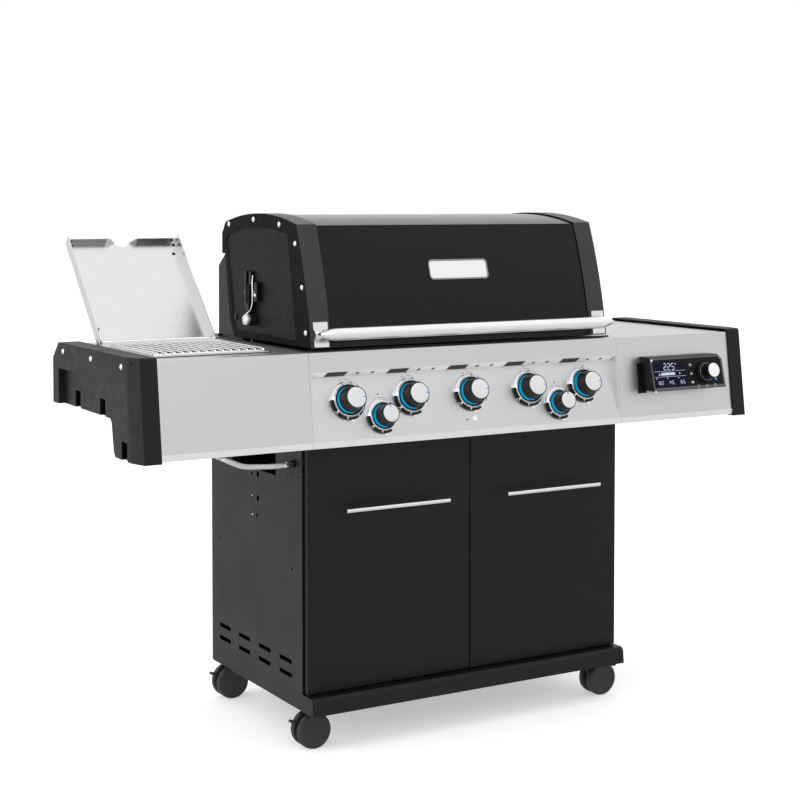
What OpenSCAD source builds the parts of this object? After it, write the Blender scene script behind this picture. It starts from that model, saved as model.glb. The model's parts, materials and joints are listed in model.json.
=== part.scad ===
// Five-burner gas barbecue cart: cook box with hinged lid, two side shelves, side burner,
// two-door cabinet on four twin-wheel braked casters.
// Millimetres. X runs to the right, Y to the back, Z up. Every Y in this file is measured from
// the front plane of the doors; grill() moves the whole assembly so that the origin lies on the
// floor in the middle of the footprint.

/* [Cabinet] */
// Half of the cabinet's outside width
cab_half = 415.5; // [410:0.5:430]
// Outside of the cabinet's back, behind the door plane
cab_back = 490.7; // [480:0.1:500]
// Height of the underside of the base pan
base_bottom = 84.6; // [84:0.1:90]
// Height of the top of the base pan
base_top = 122; // [118:0.5:126]
// How far the base pan's skirt stands out in front of the doors
skirt = 33; // [25:1:40]
// Depth of a door
door_depth = 14; // [12:0.5:15]
// Gap between the two doors
door_gap = 3; // [2:0.5:6]

/* [Shelves] */
// Half of the control panel's width, where the shelves begin
panel_half = 409.3; // [405:0.1:412]
// Half width out to the end of the sheet-metal shelves
shelf_half = 753.4; // [740:0.1:760]
// Half of the overall width, over the end caps
overall_half = 803; // [790:1:810]
// Height of the shelf tops
shelf_top = 858.6; // [855:0.1:862]
// Height of the bottom edge of the shelves' front faces
fascia_bottom = 656.6; // [650:0.1:665]

/* [Lid] */
// Half of the lid's width
lid_half = 394; // [390:1:396]
// Width of the cast end caps, seen from the front
lid_cap_w = 48; // [40:1:60]
// Height of the lid's bottom edge
lid_bottom = 866; // [865:1:870]
// Diameter of the lid's handle
handle_d = 28; // [22:1:32]
// Height of the handle's centre line
handle_z = 898; // [890:1:905]

/* [Side burner] */
// Length of the burner lid's top plate
burner_lid_len = 293; // [288:1:296]
// Angle that the open burner lid makes with the level
burner_lid_open = 46.8; // [40:0.1:60]

/* [Knobs] */
// Distance between neighbouring main knobs
knob_pitch = 157; // [150:1:160]
// Backward slope of the knob panel
panel_tilt = 16.5; // [14:0.5:18]

/* [Casters] */
// Wheel radius
wheel_r = 39; // [36:0.5:39]
// Distance from the swivel axis to the axle
trail = 22; // [18:1:24]

/* [Hidden] */
$fn = 48;

// The origin lies this far behind the door plane
origin_y = 250;
sheet = 2;
running = 0.05;

// Front plane of the cabinet's own metal, behind the doors
frame_y = 17;
door_half = cab_half - 4.2;
door_z = [base_top + 3, 652];
door_axis = [405, 6];
door_pin_r = 2.5;
door_handle_z = 520;
door_handle_y = -37;
door_handle_x = [77, 337];

// The shelves' front faces lean: the bottom edge stands further forward than the top
fascia_y = [-2.3, -27.5];
fascia_tilt = atan((fascia_y[0] - fascia_y[1]) / (shelf_top - fascia_bottom));
fascia_low = [fascia_y[1], fascia_bottom];
function fascia_at(z) = fascia_y[0] - (shelf_top - z) * tan(fascia_tilt);

// Knob panel: a sloping face between a step near the top and a fold near the bottom
step_z = 816;
panel_top_z = 804;
fold_z = 671;
fold_y = fascia_at(fold_z);
function panel_at(z) = fold_y + (z - fold_z) * tan(panel_tilt);
main_knob_z = 752;
small_knob_z = 714;
small_knob_x = 1.5 * knob_pitch;
stem_r = 4;
// [x, z, bezel radius] of each knob: five main ones, then side burner and rear burner
knobs = [
    [-2 * knob_pitch, main_knob_z, 41], [-knob_pitch, main_knob_z, 41], [0, main_knob_z, 41],
    [knob_pitch, main_knob_z, 41], [2 * knob_pitch, main_knob_z, 41],
    [-small_knob_x, small_knob_z, 37], [small_knob_x, small_knob_z, 37]
];
louver_pitch = 154.6;

// Cook box
rim = [854, 862];
rim_half = 409;
box_half = 386;
box_wall = 6;
box_out = [[46, rim[1]], [46, 800], [64, 700], [140, 652], [410, 652], [486, 700], [508, 800],
           [508, rim[1]]];
box_in = [[52, rim[1] + 2], [52, 801], [69.6, 703.5], [142, 658], [408, 658], [480.6, 703.5],
          [502, 801], [502, rim[1] + 2]];
back_hood = [[512, rim[1]], [511, 1029], [474, 1056], [440, 1056], [440, 1050], [472, 1050],
             [505, 1026], [506, rim[1]]];
wing = [[372, rim[1]], [512, rim[1]], [511, 1029], [474, 1056], [440, 1056], [405, 940], [372, 905]];
ledge_z = 836;
tamer_z = 757;
burner_z = 735;
burner_r = 12.5;

// Lid: the front and the crown are circular arcs, the rear corner a small one
lid_pivot = [401, 912];
lid_pin_r = 6;
front_a = [14, lid_bottom];
front_b = [84, 1131];
front_bulge = 8;
crown_b = [455, 1133];
crown_rise = 22;
crown_end = 77.6;
corner_c = [446, 1123];
corner_r = 12;
// Below the corner the rear slopes, then bends down to the tail
rear_slope = 35.7;
rear_bend_z = 1106;
lid_tail = [473, 1060];
cap_wall = 3;
sheet_inset = cap_wall + 0.1;
lid_sheet = 1.6;
// Depth of the sunk field in the sides of the lid's end caps, and how far it lies below the crown
sunk_depth = 3;
sunk_below = 32;
// Screws along the edge of the lid's end caps, and the pockets that the front ones sit in
crown_screws = [[432, 1128], [298, 1140], [166, 1130]];
front_screws = [[93, 1089], [61, 995], [44, 898]];
pocket_r = 8.5;
screw_r = 7;
pocket_depth = 2.5;
// Centre of the arc that rises by s over the chord from p to q, on its right-hand side
function arc_radius(p, q, s) = (pow(norm(q - p) / 2, 2) + s * s) / (2 * s);
function arc_centre(p, q, s) =
    (p + q) / 2 + (arc_radius(p, q, s) - s) * [(q - p).y, -(q - p).x] / norm(q - p);
front_r = arc_radius(front_a, front_b, front_bulge);
front_c = arc_centre(front_a, front_b, front_bulge);
crown_r = arc_radius(front_b, crown_b, crown_rise);
crown_c = arc_centre(front_b, crown_b, crown_rise);
// The upper front crossing of two circles
function crossing(c, r, k, q) =
    let (d = norm(k - c), u = (k - c) / d, a = (r * r - q * q + d * d) / (2 * d),
         h = sqrt(r * r - a * a))
    c + a * u + h * [-u.y, u.x];
function angle_at(c, p) = let (a = atan2(p.y - c.y, p.x - c.x)) a < 0 ? a + 360 : a;
function arc_points(c, r, a, b, n) = [for (i = [0 : n]) let (t = a + (b - a) * i / n)
    c + r * [cos(t), sin(t)]];
// y of the lid's front at height z, d inside its surface
function lid_front(z, d = 0) = front_c.x - sqrt(pow(front_r - d, 2) - pow(z - front_c.y, 2));
// The lid's side outline from its front bottom over the crown to its tail, f inside the front
// and c inside the crown, starting at height z
function lid_outline(f, c, z = lid_bottom) =
    let (x = crossing(crown_c, crown_r - c, front_c, front_r - f))
    concat(arc_points(front_c, front_r - f, angle_at(front_c, [lid_front(z, f), z]),
                      angle_at(front_c, x), 16),
           arc_points(crown_c, crown_r - c, angle_at(crown_c, x), crown_end, 24),
           arc_points(corner_c, corner_r - c, 80, rear_slope, 6),
           [[lid_tail.x - c, rear_bend_z - c * tan(rear_slope / 2)]]);

handle_half = 388;
handle_y = -20;
handle_bracket_x = 370;
nameplate_z = 1027;

// Side burner well and its lid's hinge
well = [[-732, -472], [65, 343]];
hinge_yz = [363, 868];
burner_lid_x = [-738, -463];
burner_lid_back = 20;
burner_pin_r = 3;

// Temperature controller on the right shelf's front face
ctrl_x = [477, 699];
ctrl_z = [731, 810];
ctrl_depth = [46, 36];
ctrl_face = [fascia_at(ctrl_z[0]) - ctrl_depth[0], fascia_at(ctrl_z[1]) - ctrl_depth[1]];
ctrl_tilt = atan((ctrl_face[1] - ctrl_face[0]) / (ctrl_z[1] - ctrl_z[0]));
function ctrl_at(z) = ctrl_face[0] + (z - ctrl_z[0]) * tan(ctrl_tilt);
ctrl_wall = 3;
screen_x = [483, 582];
screen_z = [741, 796];
button_x = 597;
button_z = [788, 767.5, 747];
button_r = 4.7;
dial = [640, 769];
dial_shaft_r = 3;
socket_x = [615, 640, 666];
socket_z = 737;
socket_r = 1.75;
socket_depth = 12;

// Casters: [name, side, y of the swivel axis]
stem_x = 365;
caster_stem_r = 5.5;
CASTERS = [["front_left", -1, 34], ["front_right", 1, 34], ["rear_left", -1, 454],
           ["rear_right", 1, 454]];

// Grease tray, which slides out to the back on two rails under the cook box
tray_half = 200;
tray_y = [120, 486];
tray_z = [609.3, 640];
rail_z = 606;

// Gas line from the manifold to the side burner, clipped along the outside of the left panel
hose_r = 6;
hose_sides = 10;
hose_route = [
    [-602, 205, 800], [-602, 206, 778], [-596, 214, 750], [-582, 236, 716], [-558, 272, 684],
    [-526, 318, 650], [-492, 360, 619], [-460, 390, 597], [-438, 395, 585], [-427, 372, 579],
    [-425, 335, 577], [-425, 300, 577], [-425, 265, 580], [-425, 230, 585], [-425, 190, 591],
    [-425, 150, 597], [-425, 110, 604], [-425, 80, 610], [-425, 60, 615]
];

module grill() translate([0, -origin_y, 0]) children();
// Extrudes a (y, z) outline along X, centred, w long
module along_x(w) rotate([90, 0, 90]) linear_extrude(w, center = true) children();
// Extrudes a (y, z) outline along X from a to b
module span_x(a, b) translate([(a + b) / 2, 0, 0]) along_x(abs(b - a)) children();
// Box between two opposite corners
module block(a, b) translate([min(a.x, b.x), min(a.y, b.y), min(a.z, b.z)])
    cube([abs(b.x - a.x), abs(b.y - a.y), abs(b.z - a.z)]);
// Cylinder along X or along Y, from a to b
module rod_x(r, a, b, y, z) translate([min(a, b), y, z]) rotate([0, 90, 0])
    cylinder(r = r, h = abs(b - a));
module rod_y(r, a, b, x, z) translate([x, max(a, b), z]) rotate([90, 0, 0])
    cylinder(r = r, h = abs(b - a));
// A drawing plane on the knob panel, the shelf front or the controller: +Z points out of it
module on_panel(x, z) translate([x, panel_at(z), z]) rotate([90 - panel_tilt, 0, 0]) children();
module on_fascia(x, z) translate([x, fascia_at(z), z]) rotate([90 - fascia_tilt, 0, 0]) children();
module on_controller(x, z) translate([x, ctrl_at(z), z]) rotate([90 - ctrl_tilt, 0, 0]) children();
module mirrored() {
    children();
    mirror([1, 0, 0]) children();
}
// Domed screw head, r wide and h high, standing on z = 0
module dome_screw(r, h) {
    big_r = (r * r + h * h) / (2 * h);
    rotate_extrude() intersection() {
        translate([0, h - big_r]) circle(big_r, $fn = 96);
        square([r, h]);
    }
}

// ---------------------------------------------------------------- cart and cabinet

module base_pan() color("#2b2b2b") grill() {
    t = 2.5;
    difference() {
        union() {
            difference() {
                along_x(2 * cab_half) polygon([[-skirt, base_bottom], [-skirt + 3, base_top - 7],
                    [-skirt + 9, base_top], [cab_back, base_top], [cab_back, base_bottom]]);
                along_x(2 * (cab_half - t)) polygon([[-skirt + 3 + t, base_bottom + t],
                    [-skirt + 3 + t, base_top - 8], [-skirt + 10, base_top - t],
                    [frame_y - t, base_top - t], [frame_y - t, base_bottom + 15],
                    [frame_y, base_bottom + 15], [frame_y, base_top + t], [cab_back - t, base_top + t],
                    [cab_back - t, base_bottom + t]]);
            }
            for (c = CASTERS) translate([c[1] * stem_x, c[2], base_bottom]) cylinder(r = 14, h = 24);
            translate([190, 262, base_bottom]) rotate_extrude($fn = 96)
                translate([103, 0]) square([3, 14]);
        }
        for (c = CASTERS) translate([c[1] * stem_x, c[2], base_bottom - 1])
            cylinder(r = caster_stem_r + running, h = 22);
    }
}

module side_panel(left) {
    top = shelf_top - sheet;
    difference() {
        union() {
            block([cab_half - sheet, frame_y + sheet, base_top], [cab_half, cab_back, top]);
            block([395, 40, 852], [cab_half - sheet, 480, rim[0]]);
        }
        for (i = [0 : 3], z = [150, 180])
            block([cab_half - 5, 68 + 106.3 * i, z - 5], [cab_half + 1, 128 + 106.3 * i, z + 5]);
        if (left) {
            block([cab_half - 5, 144, 577], [cab_half + 1, 372, 690]);
            rod_x(9, cab_half - 5, cab_half + 1, 52, 618);
        }
        for (p = [[268, 565, 4], [236, 567, 6.5], [268, 513, 4], [236, 513, 6.5], [268, 473, 4],
                  [241, 473, 4.5], [445, 389, 3], [65, 385, 3.5], [85, 578, 2.5], [34, 590, 2.5]])
            rod_x(p[2], cab_half - 5, cab_half + 1, p[0], p[1]);
    }
}
module side_panel_left() color("#3a3a3a") grill() mirror([1, 0, 0]) side_panel(true);
module side_panel_right() color("#3a3a3a") grill() side_panel(false);

module back_panel() color("#303030") grill() {
    half = cab_half - 3.5;
    difference() {
        block([-half, cab_back - 4.5, 100], [half, cab_back - 2.5, 586]);
        for (s = [-1, 1], i = [0 : 4], z = [420 : 25 : 495])
            block([s * 200 - 140 + 60 * i, cab_back - 6, z], [s * 200 - 100 + 60 * i, cab_back, z + 8]);
    }
}

module front_frame() color("#262626") grill() {
    half = cab_half;
    difference() {
        block([-half, frame_y, base_top], [half, frame_y + sheet, 700]);
        block([-half + 30, frame_y - 1, 140], [half - 30, frame_y + 5, 630]);
    }
    block([-half + 5, frame_y, base_bottom + 16], [half - 5, frame_y + sheet, base_top]);
    mirrored() block([door_axis.x - 7, 0, 654], [door_axis.x + 7, frame_y, 657]);
    // magnetic catches for the doors
    mirrored() block([15, frame_y - 2.5, 632], [50, frame_y, 642]);
}

module door() {
    t = 1.5;
    difference() {
        block([door_gap / 2, 0, door_z[0]], [door_half, door_depth, door_z[1]]);
        block([door_gap / 2 + t, t, door_z[0] + t], [door_half - t, door_depth - t, door_z[1] - t]);
        // the back is open between its folded edges
        block([door_gap / 2 + 18, 5, door_z[0] + 18], [door_half - 18, door_depth + 1, door_z[1] - 18]);
        translate([door_axis.x, door_axis.y, door_z[0] - 1])
            cylinder(r = door_pin_r + running, h = door_z[1] - door_z[0] + 2);
    }
}
module door_left() color("#202020") grill() mirror([1, 0, 0]) door();
module door_right() color("#202020") grill() door();

module door_handle() {
    rod_x(5, door_handle_x[0], door_handle_x[1], door_handle_y, door_handle_z);
    for (x = [door_handle_x[0] + 16, door_handle_x[1] - 16])
        rod_y(3.5, door_handle_y, 0, x, door_handle_z);
}
module door_handle_left() color("#d8d8d8") grill() mirror([1, 0, 0]) door_handle();
module door_handle_right() color("#d8d8d8") grill() door_handle();

// ---------------------------------------------------------------- cook box and burners

module firebox() color("#1f1f1f") grill() {
    difference() {
        union() {
            along_x(2 * box_half) polygon(box_out);
            block([-rim_half, 25, rim[0]], [rim_half, 512, rim[1]]);
            // feet at the rear corners of the rim
            mirrored() block([380, 505, rim[0] + 2], [394, 526, rim[1] + 3]);
        }
        along_x(2 * (box_half - box_wall)) polygon(box_in);
        block([-45, 230, 640], [45, 320, 670]);
        for (x = [-2 : 2]) rod_y(burner_r + 0.1, 40, 90, x * knob_pitch, burner_z);
    }
    along_x(2 * box_half) polygon(back_hood);
    mirrored() {
        span_x(box_half - box_wall, box_half) polygon(wing);
        // rails for the grease tray
        block([tray_half + 5, 150, rail_z], [tray_half + 8, 400, 652.5]);
        block([tray_half - 10, 150, rail_z], [tray_half + 6, 400, rail_z + 3]);
    }
    // ledges for the grates and for the flame tamers
    block([-381, 51, ledge_z - 6], [381, 74, ledge_z]);
    block([-381, 478, ledge_z - 6], [381, 503, ledge_z]);
    block([-381, 56, tamer_z - 4], [381, 84, tamer_z]);
    block([-381, 466, tamer_z - 4], [381, 494, tamer_z]);
}

module burner_tubes() color("#b9b9b5") grill()
    for (i = [-2 : 2]) difference() {
        rod_y(burner_r, 52, 484.5, i * knob_pitch, burner_z);
        rod_y(9, 51, 100, i * knob_pitch, burner_z);
    }

module flame_tamers() color("#a8a8a4") grill() {
    half_w = 56;
    rise = 34;
    t = 1.6;
    for (i = [-2 : 2]) translate([i * knob_pitch, 470, tamer_z]) rotate([90, 0, 0])
        linear_extrude(390) polygon([[-half_w, 0], [0, rise], [half_w, 0], [half_w - 2 * t, 0],
                                     [0, rise - t], [-half_w + 2 * t, 0]]);
}

module cooking_grates() color("#2d2d2d") grill() {
    w = 148;
    h = 12;
    for (i = [-2 : 2]) translate([i * 151, 0, 0]) {
        for (k = [0 : 8]) translate([-w / 2 + k * (w - 8) / 8, 58, ledge_z]) cube([8, 438, h]);
        for (y = [58, 272, 488]) translate([-w / 2, y, ledge_z]) cube([w, 8, h - 3]);
    }
}

module warming_rack() color("#c8c8c8") grill() {
    z = 985;
    for (k = [0 : 9]) rod_x(2, -372, 372, 318 + 14 * k, z + 4);
    mirrored() rod_y(2.5, 312, 450, 366, z);
    rod_x(3, -box_half + box_wall, box_half - box_wall, 430, z);
    rod_x(3, -383, 383, 330, z);
    mirrored() translate([383, 330, rim[1]]) cylinder(r = 3, h = z - rim[1] + 3);
}

module rear_burner() color("#9a9a9a") grill() difference() {
    block([-280, 486, 905], [280, 500, 985]);
    block([-270, 480, 915], [270, 490, 975]);
}

module gas_manifold() color("#8f8f86") grill() {
    pipe = [34.4, 741];
    pipe_r = 7;
    rod_x(pipe_r, -cab_half + sheet, cab_half - sheet, pipe.x, pipe.y);
    for (k = knobs) {
        small = k[1] < main_knob_z;
        on_panel(k[0], k[1]) difference() {
            translate([0, 0, -30]) cylinder(r = 11, h = 26);
            translate([0, 0, -16]) cylinder(r = stem_r + running, h = 20);
        }
        if (small) translate([k[0], 20, small_knob_z - 6]) cylinder(r = 5, h = 30);
        if (small) block([k[0] - 5, 15, 728], [k[0] + 5, 34, 738]);
        if (!small) on_panel(k[0], k[1]) translate([0, 0, -36]) cylinder(r = 6, h = 10);
        if (!small) rod_y(4, pipe.x, 50, k[0], burner_z);
    }
}

// ---------------------------------------------------------------- front panels and knobs

module control_panel() color("#c9cacb") grill() {
    t = sheet;
    lip = fascia_y[1] + 22;
    difference() {
        union() {
            along_x(2 * panel_half) polygon([
                [24.5, shelf_top], [fascia_y[0], shelf_top], [fascia_at(step_z), step_z],
                [panel_at(panel_top_z), panel_top_z], [fold_y, fold_z], fascia_low,
                [lip, fascia_bottom], [lip, fascia_bottom + t],
                [fascia_y[1] + t + 0.3, fascia_bottom + t], [fold_y + t, fold_z],
                [panel_at(panel_top_z) + t + 0.3, panel_top_z + 2 * t],
                [fascia_at(step_z) + t, step_z + t], [fascia_y[0] + t, shelf_top - t],
                [24.5, shelf_top - t]]);
            // cheeks that close the sides of the sunk knob panel
            mirrored() span_x(panel_half - 5, panel_half) polygon([[fascia_at(step_z), step_z],
                [panel_at(panel_top_z) + 1, panel_top_z + 1], [fold_y + 1, fold_z]]);
        }
        for (k = knobs) on_panel(k[0], k[1]) translate([0, 0, -5]) cylinder(r = 7, h = 10);
        for (i = [-2 : 2]) {
            x = i * louver_pitch - 32;
            for (p = [[0, 27], [53, 4], [91, 4]])
                block([x + p[0] - p[1], -5, panel_top_z - 6], [x + p[0] + p[1], 11, step_z + 6]);
        }
    }
}

// Stepped chrome ring around a knob, with the translucent light ring seated in it
module knob_bezels() color("#dcdcdc") grill()
    for (k = knobs) on_panel(k[0], k[1]) {
        r = k[2];
        rotate_extrude($fn = 72) polygon([[7, 0], [r, 0], [r, 4], [r - 4, 8], [r - 7, 9], [r - 8, 14],
                                          [r - 11, 14], [r - 11, 5], [7, 5]]);
        rotate_extrude($fn = 72) polygon([[r - 13.5, 5.1], [r - 11.1, 5.1], [r - 11.1, 13],
                                          [r - 13.5, 13]]);
    }

// Tapered grip with a raised face and its valve stem
module knob(k) color("#242424") grill() on_panel(k[0], k[1]) {
    r = k[2] - 15;
    rotate_extrude($fn = 72) polygon([[0, -14], [stem_r, -14], [stem_r, 6], [r + 1, 6], [r + 1, 8],
        [r - 1, 40], [r - 2.5, 42], [r - 4.5, 42], [r - 4.5, 43.5], [0, 43.5]]);
}

module shelf(cut) {
    t = sheet;
    lip = fascia_y[1] + 16;
    difference() {
        union() {
            span_x(panel_half + 0.4, shelf_half) polygon([
                [cab_back, shelf_top], [fascia_y[0], shelf_top], fascia_low,
                [lip, fascia_bottom], [lip, fascia_bottom + t],
                [fascia_y[1] + t + 0.3, fascia_bottom + t], [fascia_y[0] + t, shelf_top - t],
                [cab_back, shelf_top - t]]);
            span_x(cab_half + 1, shelf_half) polygon([[cab_back - t, 800], [cab_back, 800],
                [cab_back, shelf_top], [cab_back - t, shelf_top]]);
            if (cut) for (x = [-burner_lid_x[0] + 3, -burner_lid_x[1] - 6])
                span_x(x, x + 3) translate(hinge_yz) polygon([[-8, -10], [8, -10], [8, 4], [4, 8],
                                                              [-4, 8], [-8, 4]]);
        }
        if (cut) block([-well[0][0] + 0.5, well[1][0] - 0.5, shelf_top - 5],
                       [-well[0][1] - 0.5, well[1][1] + 0.5, shelf_top + 1]);
    }
}
module shelf_left() color("#c9cacb") grill() mirror([1, 0, 0]) shelf(true);
module shelf_right() color("#c9cacb") grill() shelf(false);

// Moulded end cap: hollow, its front corner chamfered, with hook notches in its lower rim
module end_cap() {
    wall = 3.5;
    proud = 4;
    top = shelf_top + 7.4;
    front_top = top - 4;
    front = [fascia_at(front_top) - proud, fascia_at(653) - proud];
    out = [[front[0], front_top], [front[0] + 4, top], [455, top], [493, 830], [493, 728], [139, 730],
           [130, 722], [117, 662], [108, 653], [front[1], 653]];
    in = [[front[0] + wall, front_top - 2], [front[0] + 5.5, top - wall], [453, top - wall],
          [489.5, 828], [489.5, 731.5], [136, 733.5], [127, 724], [114, 665], [106, 656.5],
          [front[1] + wall, 656.5]];
    difference() {
        span_x(shelf_half, overall_half) polygon(out);
        difference() {
            span_x(shelf_half - 1, overall_half - wall) polygon(in);
            cap_chamfer(proud, wall);
            cap_sunk_field(wall);
        }
        cap_chamfer(proud, 0);
        cap_sunk_field(0);
        for (p = [[357, 727], [187, 727], [50, 652]])
            block([overall_half - 22, p[0] - 18, p[1]], [overall_half + 1, p[0] + 18, p[1] + 39]);
    }
    // rib that carries the shelf top
    block([shelf_half - 14, 20, shelf_top - sheet - 4], [overall_half - 2, 460, shelf_top - sheet]);
}
// Everything outside the chamfer plane, which leans with the front face, moved d inwards
module cap_chamfer(proud, d) on_fascia(overall_half - 12 - d, 640) translate([0, 0, proud])
    rotate([0, -15.3, 0]) translate([0, -20, -120]) cube([80, 270, 200]);
// Everything outside the sunk lower field of the side, which draws in towards the back, moved d
// inwards
module cap_sunk_field(d) {
    y = [40, 455];
    depth = 14;
    low = 640;
    top = 808;
    translate([0, 0, low]) linear_extrude(top + d - low) polygon([[overall_half + 1, y[0] - d],
        [overall_half - d, y[0] - d], [overall_half - depth - d, y[1] + d],
        [overall_half + 1, y[1] + d]]);
}
module shelf_end_caps() color("#333333") grill() mirrored() end_cap();

// ---------------------------------------------------------------- side burner

module side_burner_bowl() color("#2a2a2a") grill() {
    t = 1.5;
    floor_z = 812;
    difference() {
        union() {
            block([well[0][0], well[1][0], floor_z], [well[0][1], well[1][1], shelf_top + t]);
            block([well[0][0] - 3, well[1][0] - 6, shelf_top],
                  [well[0][1] + 6, well[1][1] + 6, shelf_top + t]);
        }
        block([well[0][0] + t, well[1][0] + t, floor_z + t],
              [well[0][1] - t, well[1][1] - t, shelf_top + 5]);
        translate([-602, 204, floor_z - 1]) cylinder(r = 8, h = 5);
    }
}

module side_burner_head() color("#b08d57") grill() translate([-602, 204, 813.5]) {
    rotate_extrude($fn = 72) polygon([[0, 0], [30, 0], [30, 8], [44, 14], [44, 26], [40, 28], [40, 31],
                                      [34, 34], [0, 34]]);
    translate([0, 0, -9]) cylinder(r = 7.9, h = 10);
}

module side_burner_grate() color("#b5b5b5") grill() {
    z = shelf_top + 5;
    for (k = [0 : 13]) rod_y(2.4, 64, 341, -722 + k * 18.6, z + 3);
    for (y = [70, 204, 337]) rod_x(2.6, -728, -474, y, z);
    for (x = [-700, -500], y = [70, 337]) translate([x, y, shelf_top + 1.5]) cylinder(r = 2.4, h = 4);
}

module burner_lid() color("#d5d7d8") grill() translate([0, hinge_yz.x, hinge_yz.y])
    rotate([burner_lid_open - 180, 0, 0]) {
        // drawn closed, with the hinge axis as its origin, then swung open
        t = 1.5;
        top = 20;
        low = -7;
        front = -burner_lid_back - burner_lid_len;
        mid_x = (burner_lid_x[0] + burner_lid_x[1]) / 2;
        difference() {
            union() {
                block([burner_lid_x[0], front, low], [burner_lid_x[1], -burner_lid_back, top]);
                for (x = [burner_lid_x[0], burner_lid_x[1] - t]) span_x(x, x + t) {
                    circle(8);
                    polygon([[-burner_lid_back, low], [0, -8], [0, 8], [-burner_lid_back, top]]);
                }
            }
            block([burner_lid_x[0] + t, front + t, low - 1], [burner_lid_x[1] - t, 9, top - t]);
            // the front edge's flange is lower than the others, with a finger notch in the middle
            block([burner_lid_x[0] + t, front - 1, low - 1], [burner_lid_x[1] - t, front + 4, 3]);
            translate([mid_x, front - 1, 0]) rotate([-90, 0, 0])
                linear_extrude(t + 2) polygon([[-36, 0], [36, 0], [18, t - top], [-18, t - top]]);
            translate([mid_x, front - 4.6, low - 1]) cylinder(r = 18.6, h = 40, $fn = 72);
            rod_x(burner_pin_r + running, burner_lid_x[0] - 1, burner_lid_x[1] + 1, 0, 0);
        }
    }

// Sweeps a ring of points along the route; the rings turn with the route's direction
module gas_hose() color("#c4c4c4") grill() {
    n = len(hose_route);
    dir = [for (i = [0 : n - 1])
        let (d = hose_route[min(i + 1, n - 1)] - hose_route[max(i - 1, 0)]) d / norm(d)];
    rings = [for (i = [0 : n - 1])
        let (side = cross(dir[i], [0.6, 0, 0.8]), u = side / norm(side), v = cross(dir[i], u))
        for (k = [0 : hose_sides - 1]) let (a = 360 * k / hose_sides)
            hose_route[i] + hose_r * (cos(a) * u + sin(a) * v)];
    sides = [for (i = [0 : n - 2], k = [0 : hose_sides - 1])
        let (a = i * hose_sides + k, b = i * hose_sides + (k + 1) % hose_sides)
        [a, a + hose_sides, b + hose_sides, b]];
    ends = [[for (k = [0 : hose_sides - 1]) k],
            [for (k = [hose_sides - 1 : -1 : 0]) (n - 1) * hose_sides + k]];
    polyhedron(rings, concat(sides, ends));
    // nut under the burner, and the elbow that leads into the cabinet
    translate([-602, 204.5, 792]) cylinder(r = 9, h = 12.4);
    rod_x(8, -434, -404, 52, 618);
    rod_y(8, 64, 52, -425, 618);
}

// ---------------------------------------------------------------- temperature controller

// What the upper right corner loses: its two legs are leg long
module ctrl_corner(leg) translate([ctrl_x[1], ctrl_face[0], ctrl_z[1]]) rotate([0, 45, 0])
    cube([leg * sqrt(2), 200, leg * sqrt(2)], center = true);

module controller_housing() color("#1c1c1c") grill() {
    w = ctrl_wall;
    low = ctrl_z[0] + w;
    high = ctrl_z[1] - w;
    difference() {
        union() {
            span_x(ctrl_x[0], ctrl_x[1]) polygon([
                [fascia_at(ctrl_z[0]), ctrl_z[0]], [ctrl_face[0], ctrl_z[0]],
                [ctrl_face[1], ctrl_z[1]], [fascia_at(ctrl_z[1]), ctrl_z[1]]]);
            // mounting plate on the shelf's front face
            on_fascia(588, 770) translate([-122, -47, 0]) cube([22, 72, 3]);
        }
        ctrl_corner(12);
        difference() {
            span_x(ctrl_x[0] + w, ctrl_x[1] - w) polygon([[fascia_at(low) + 5, low],
                [ctrl_at(low) + w / cos(ctrl_tilt), low], [ctrl_at(high) + w / cos(ctrl_tilt), high],
                [fascia_at(high) + 5, high]]);
            ctrl_corner(12 + 1.5 * w);
            for (x = socket_x) on_controller(x, socket_z) translate([0, 0, -socket_depth - 3])
                cylinder(r = 5, h = socket_depth + 5);
        }
        // screen window, dial bore, button holes, probe sockets
        on_controller(screen_x[0], screen_z[0]) translate([0, 0, -1.5])
            cube([screen_x[1] - screen_x[0], (screen_z[1] - screen_z[0]) / cos(ctrl_tilt), 5]);
        on_controller(dial.x, dial.y) translate([0, 0, -10])
            cylinder(r = dial_shaft_r + running, h = 20);
        for (z = button_z) on_controller(button_x, z) translate([0, 0, -10])
            cylinder(r = button_r + 0.3, h = 20);
        for (x = socket_x) on_controller(x, socket_z) translate([0, 0, -socket_depth])
            cylinder(r = socket_r, h = socket_depth + 5);
    }
}

module controller_screen() color("#16265c") grill()
    on_controller(screen_x[0], screen_z[0]) translate([0.2, 0.2, -1.5])
        cube([screen_x[1] - screen_x[0] - 0.4, (screen_z[1] - screen_z[0]) / cos(ctrl_tilt) - 0.4, 1.3]);

module temperature_dial() color("#1e1e1e") grill() on_controller(dial.x, dial.y)
    rotate_extrude($fn = 72) polygon([[0, -10], [dial_shaft_r, -10], [dial_shaft_r, 1], [26, 1], [26, 8],
        [20, 12], [18, 13], [17, 33], [16, 35], [0, 35]]);

module panel_button(i) color("#b8b8b8") grill() on_controller(button_x, button_z[i]) {
    translate([0, 0, -8]) cylinder(r = button_r, h = 10);
    translate([0, 0, -4.5]) cylinder(r = button_r + 1.8, h = 1.2);
}

// ---------------------------------------------------------------- lid

module lid_ring(a, b) difference() {
    polygon(concat(lid_outline(a, a), [lid_tail - [a, 0]]));
    polygon(concat(lid_outline(b, b, lid_bottom - 6), [lid_tail - [b, 8], [lid_tail.x - b, 800]]));
}
module lid_shell() color("#141414") grill() along_x(2 * (lid_half - 2 * sunk_depth - 0.2))
    lid_ring(sheet_inset, sheet_inset + lid_sheet);

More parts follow.
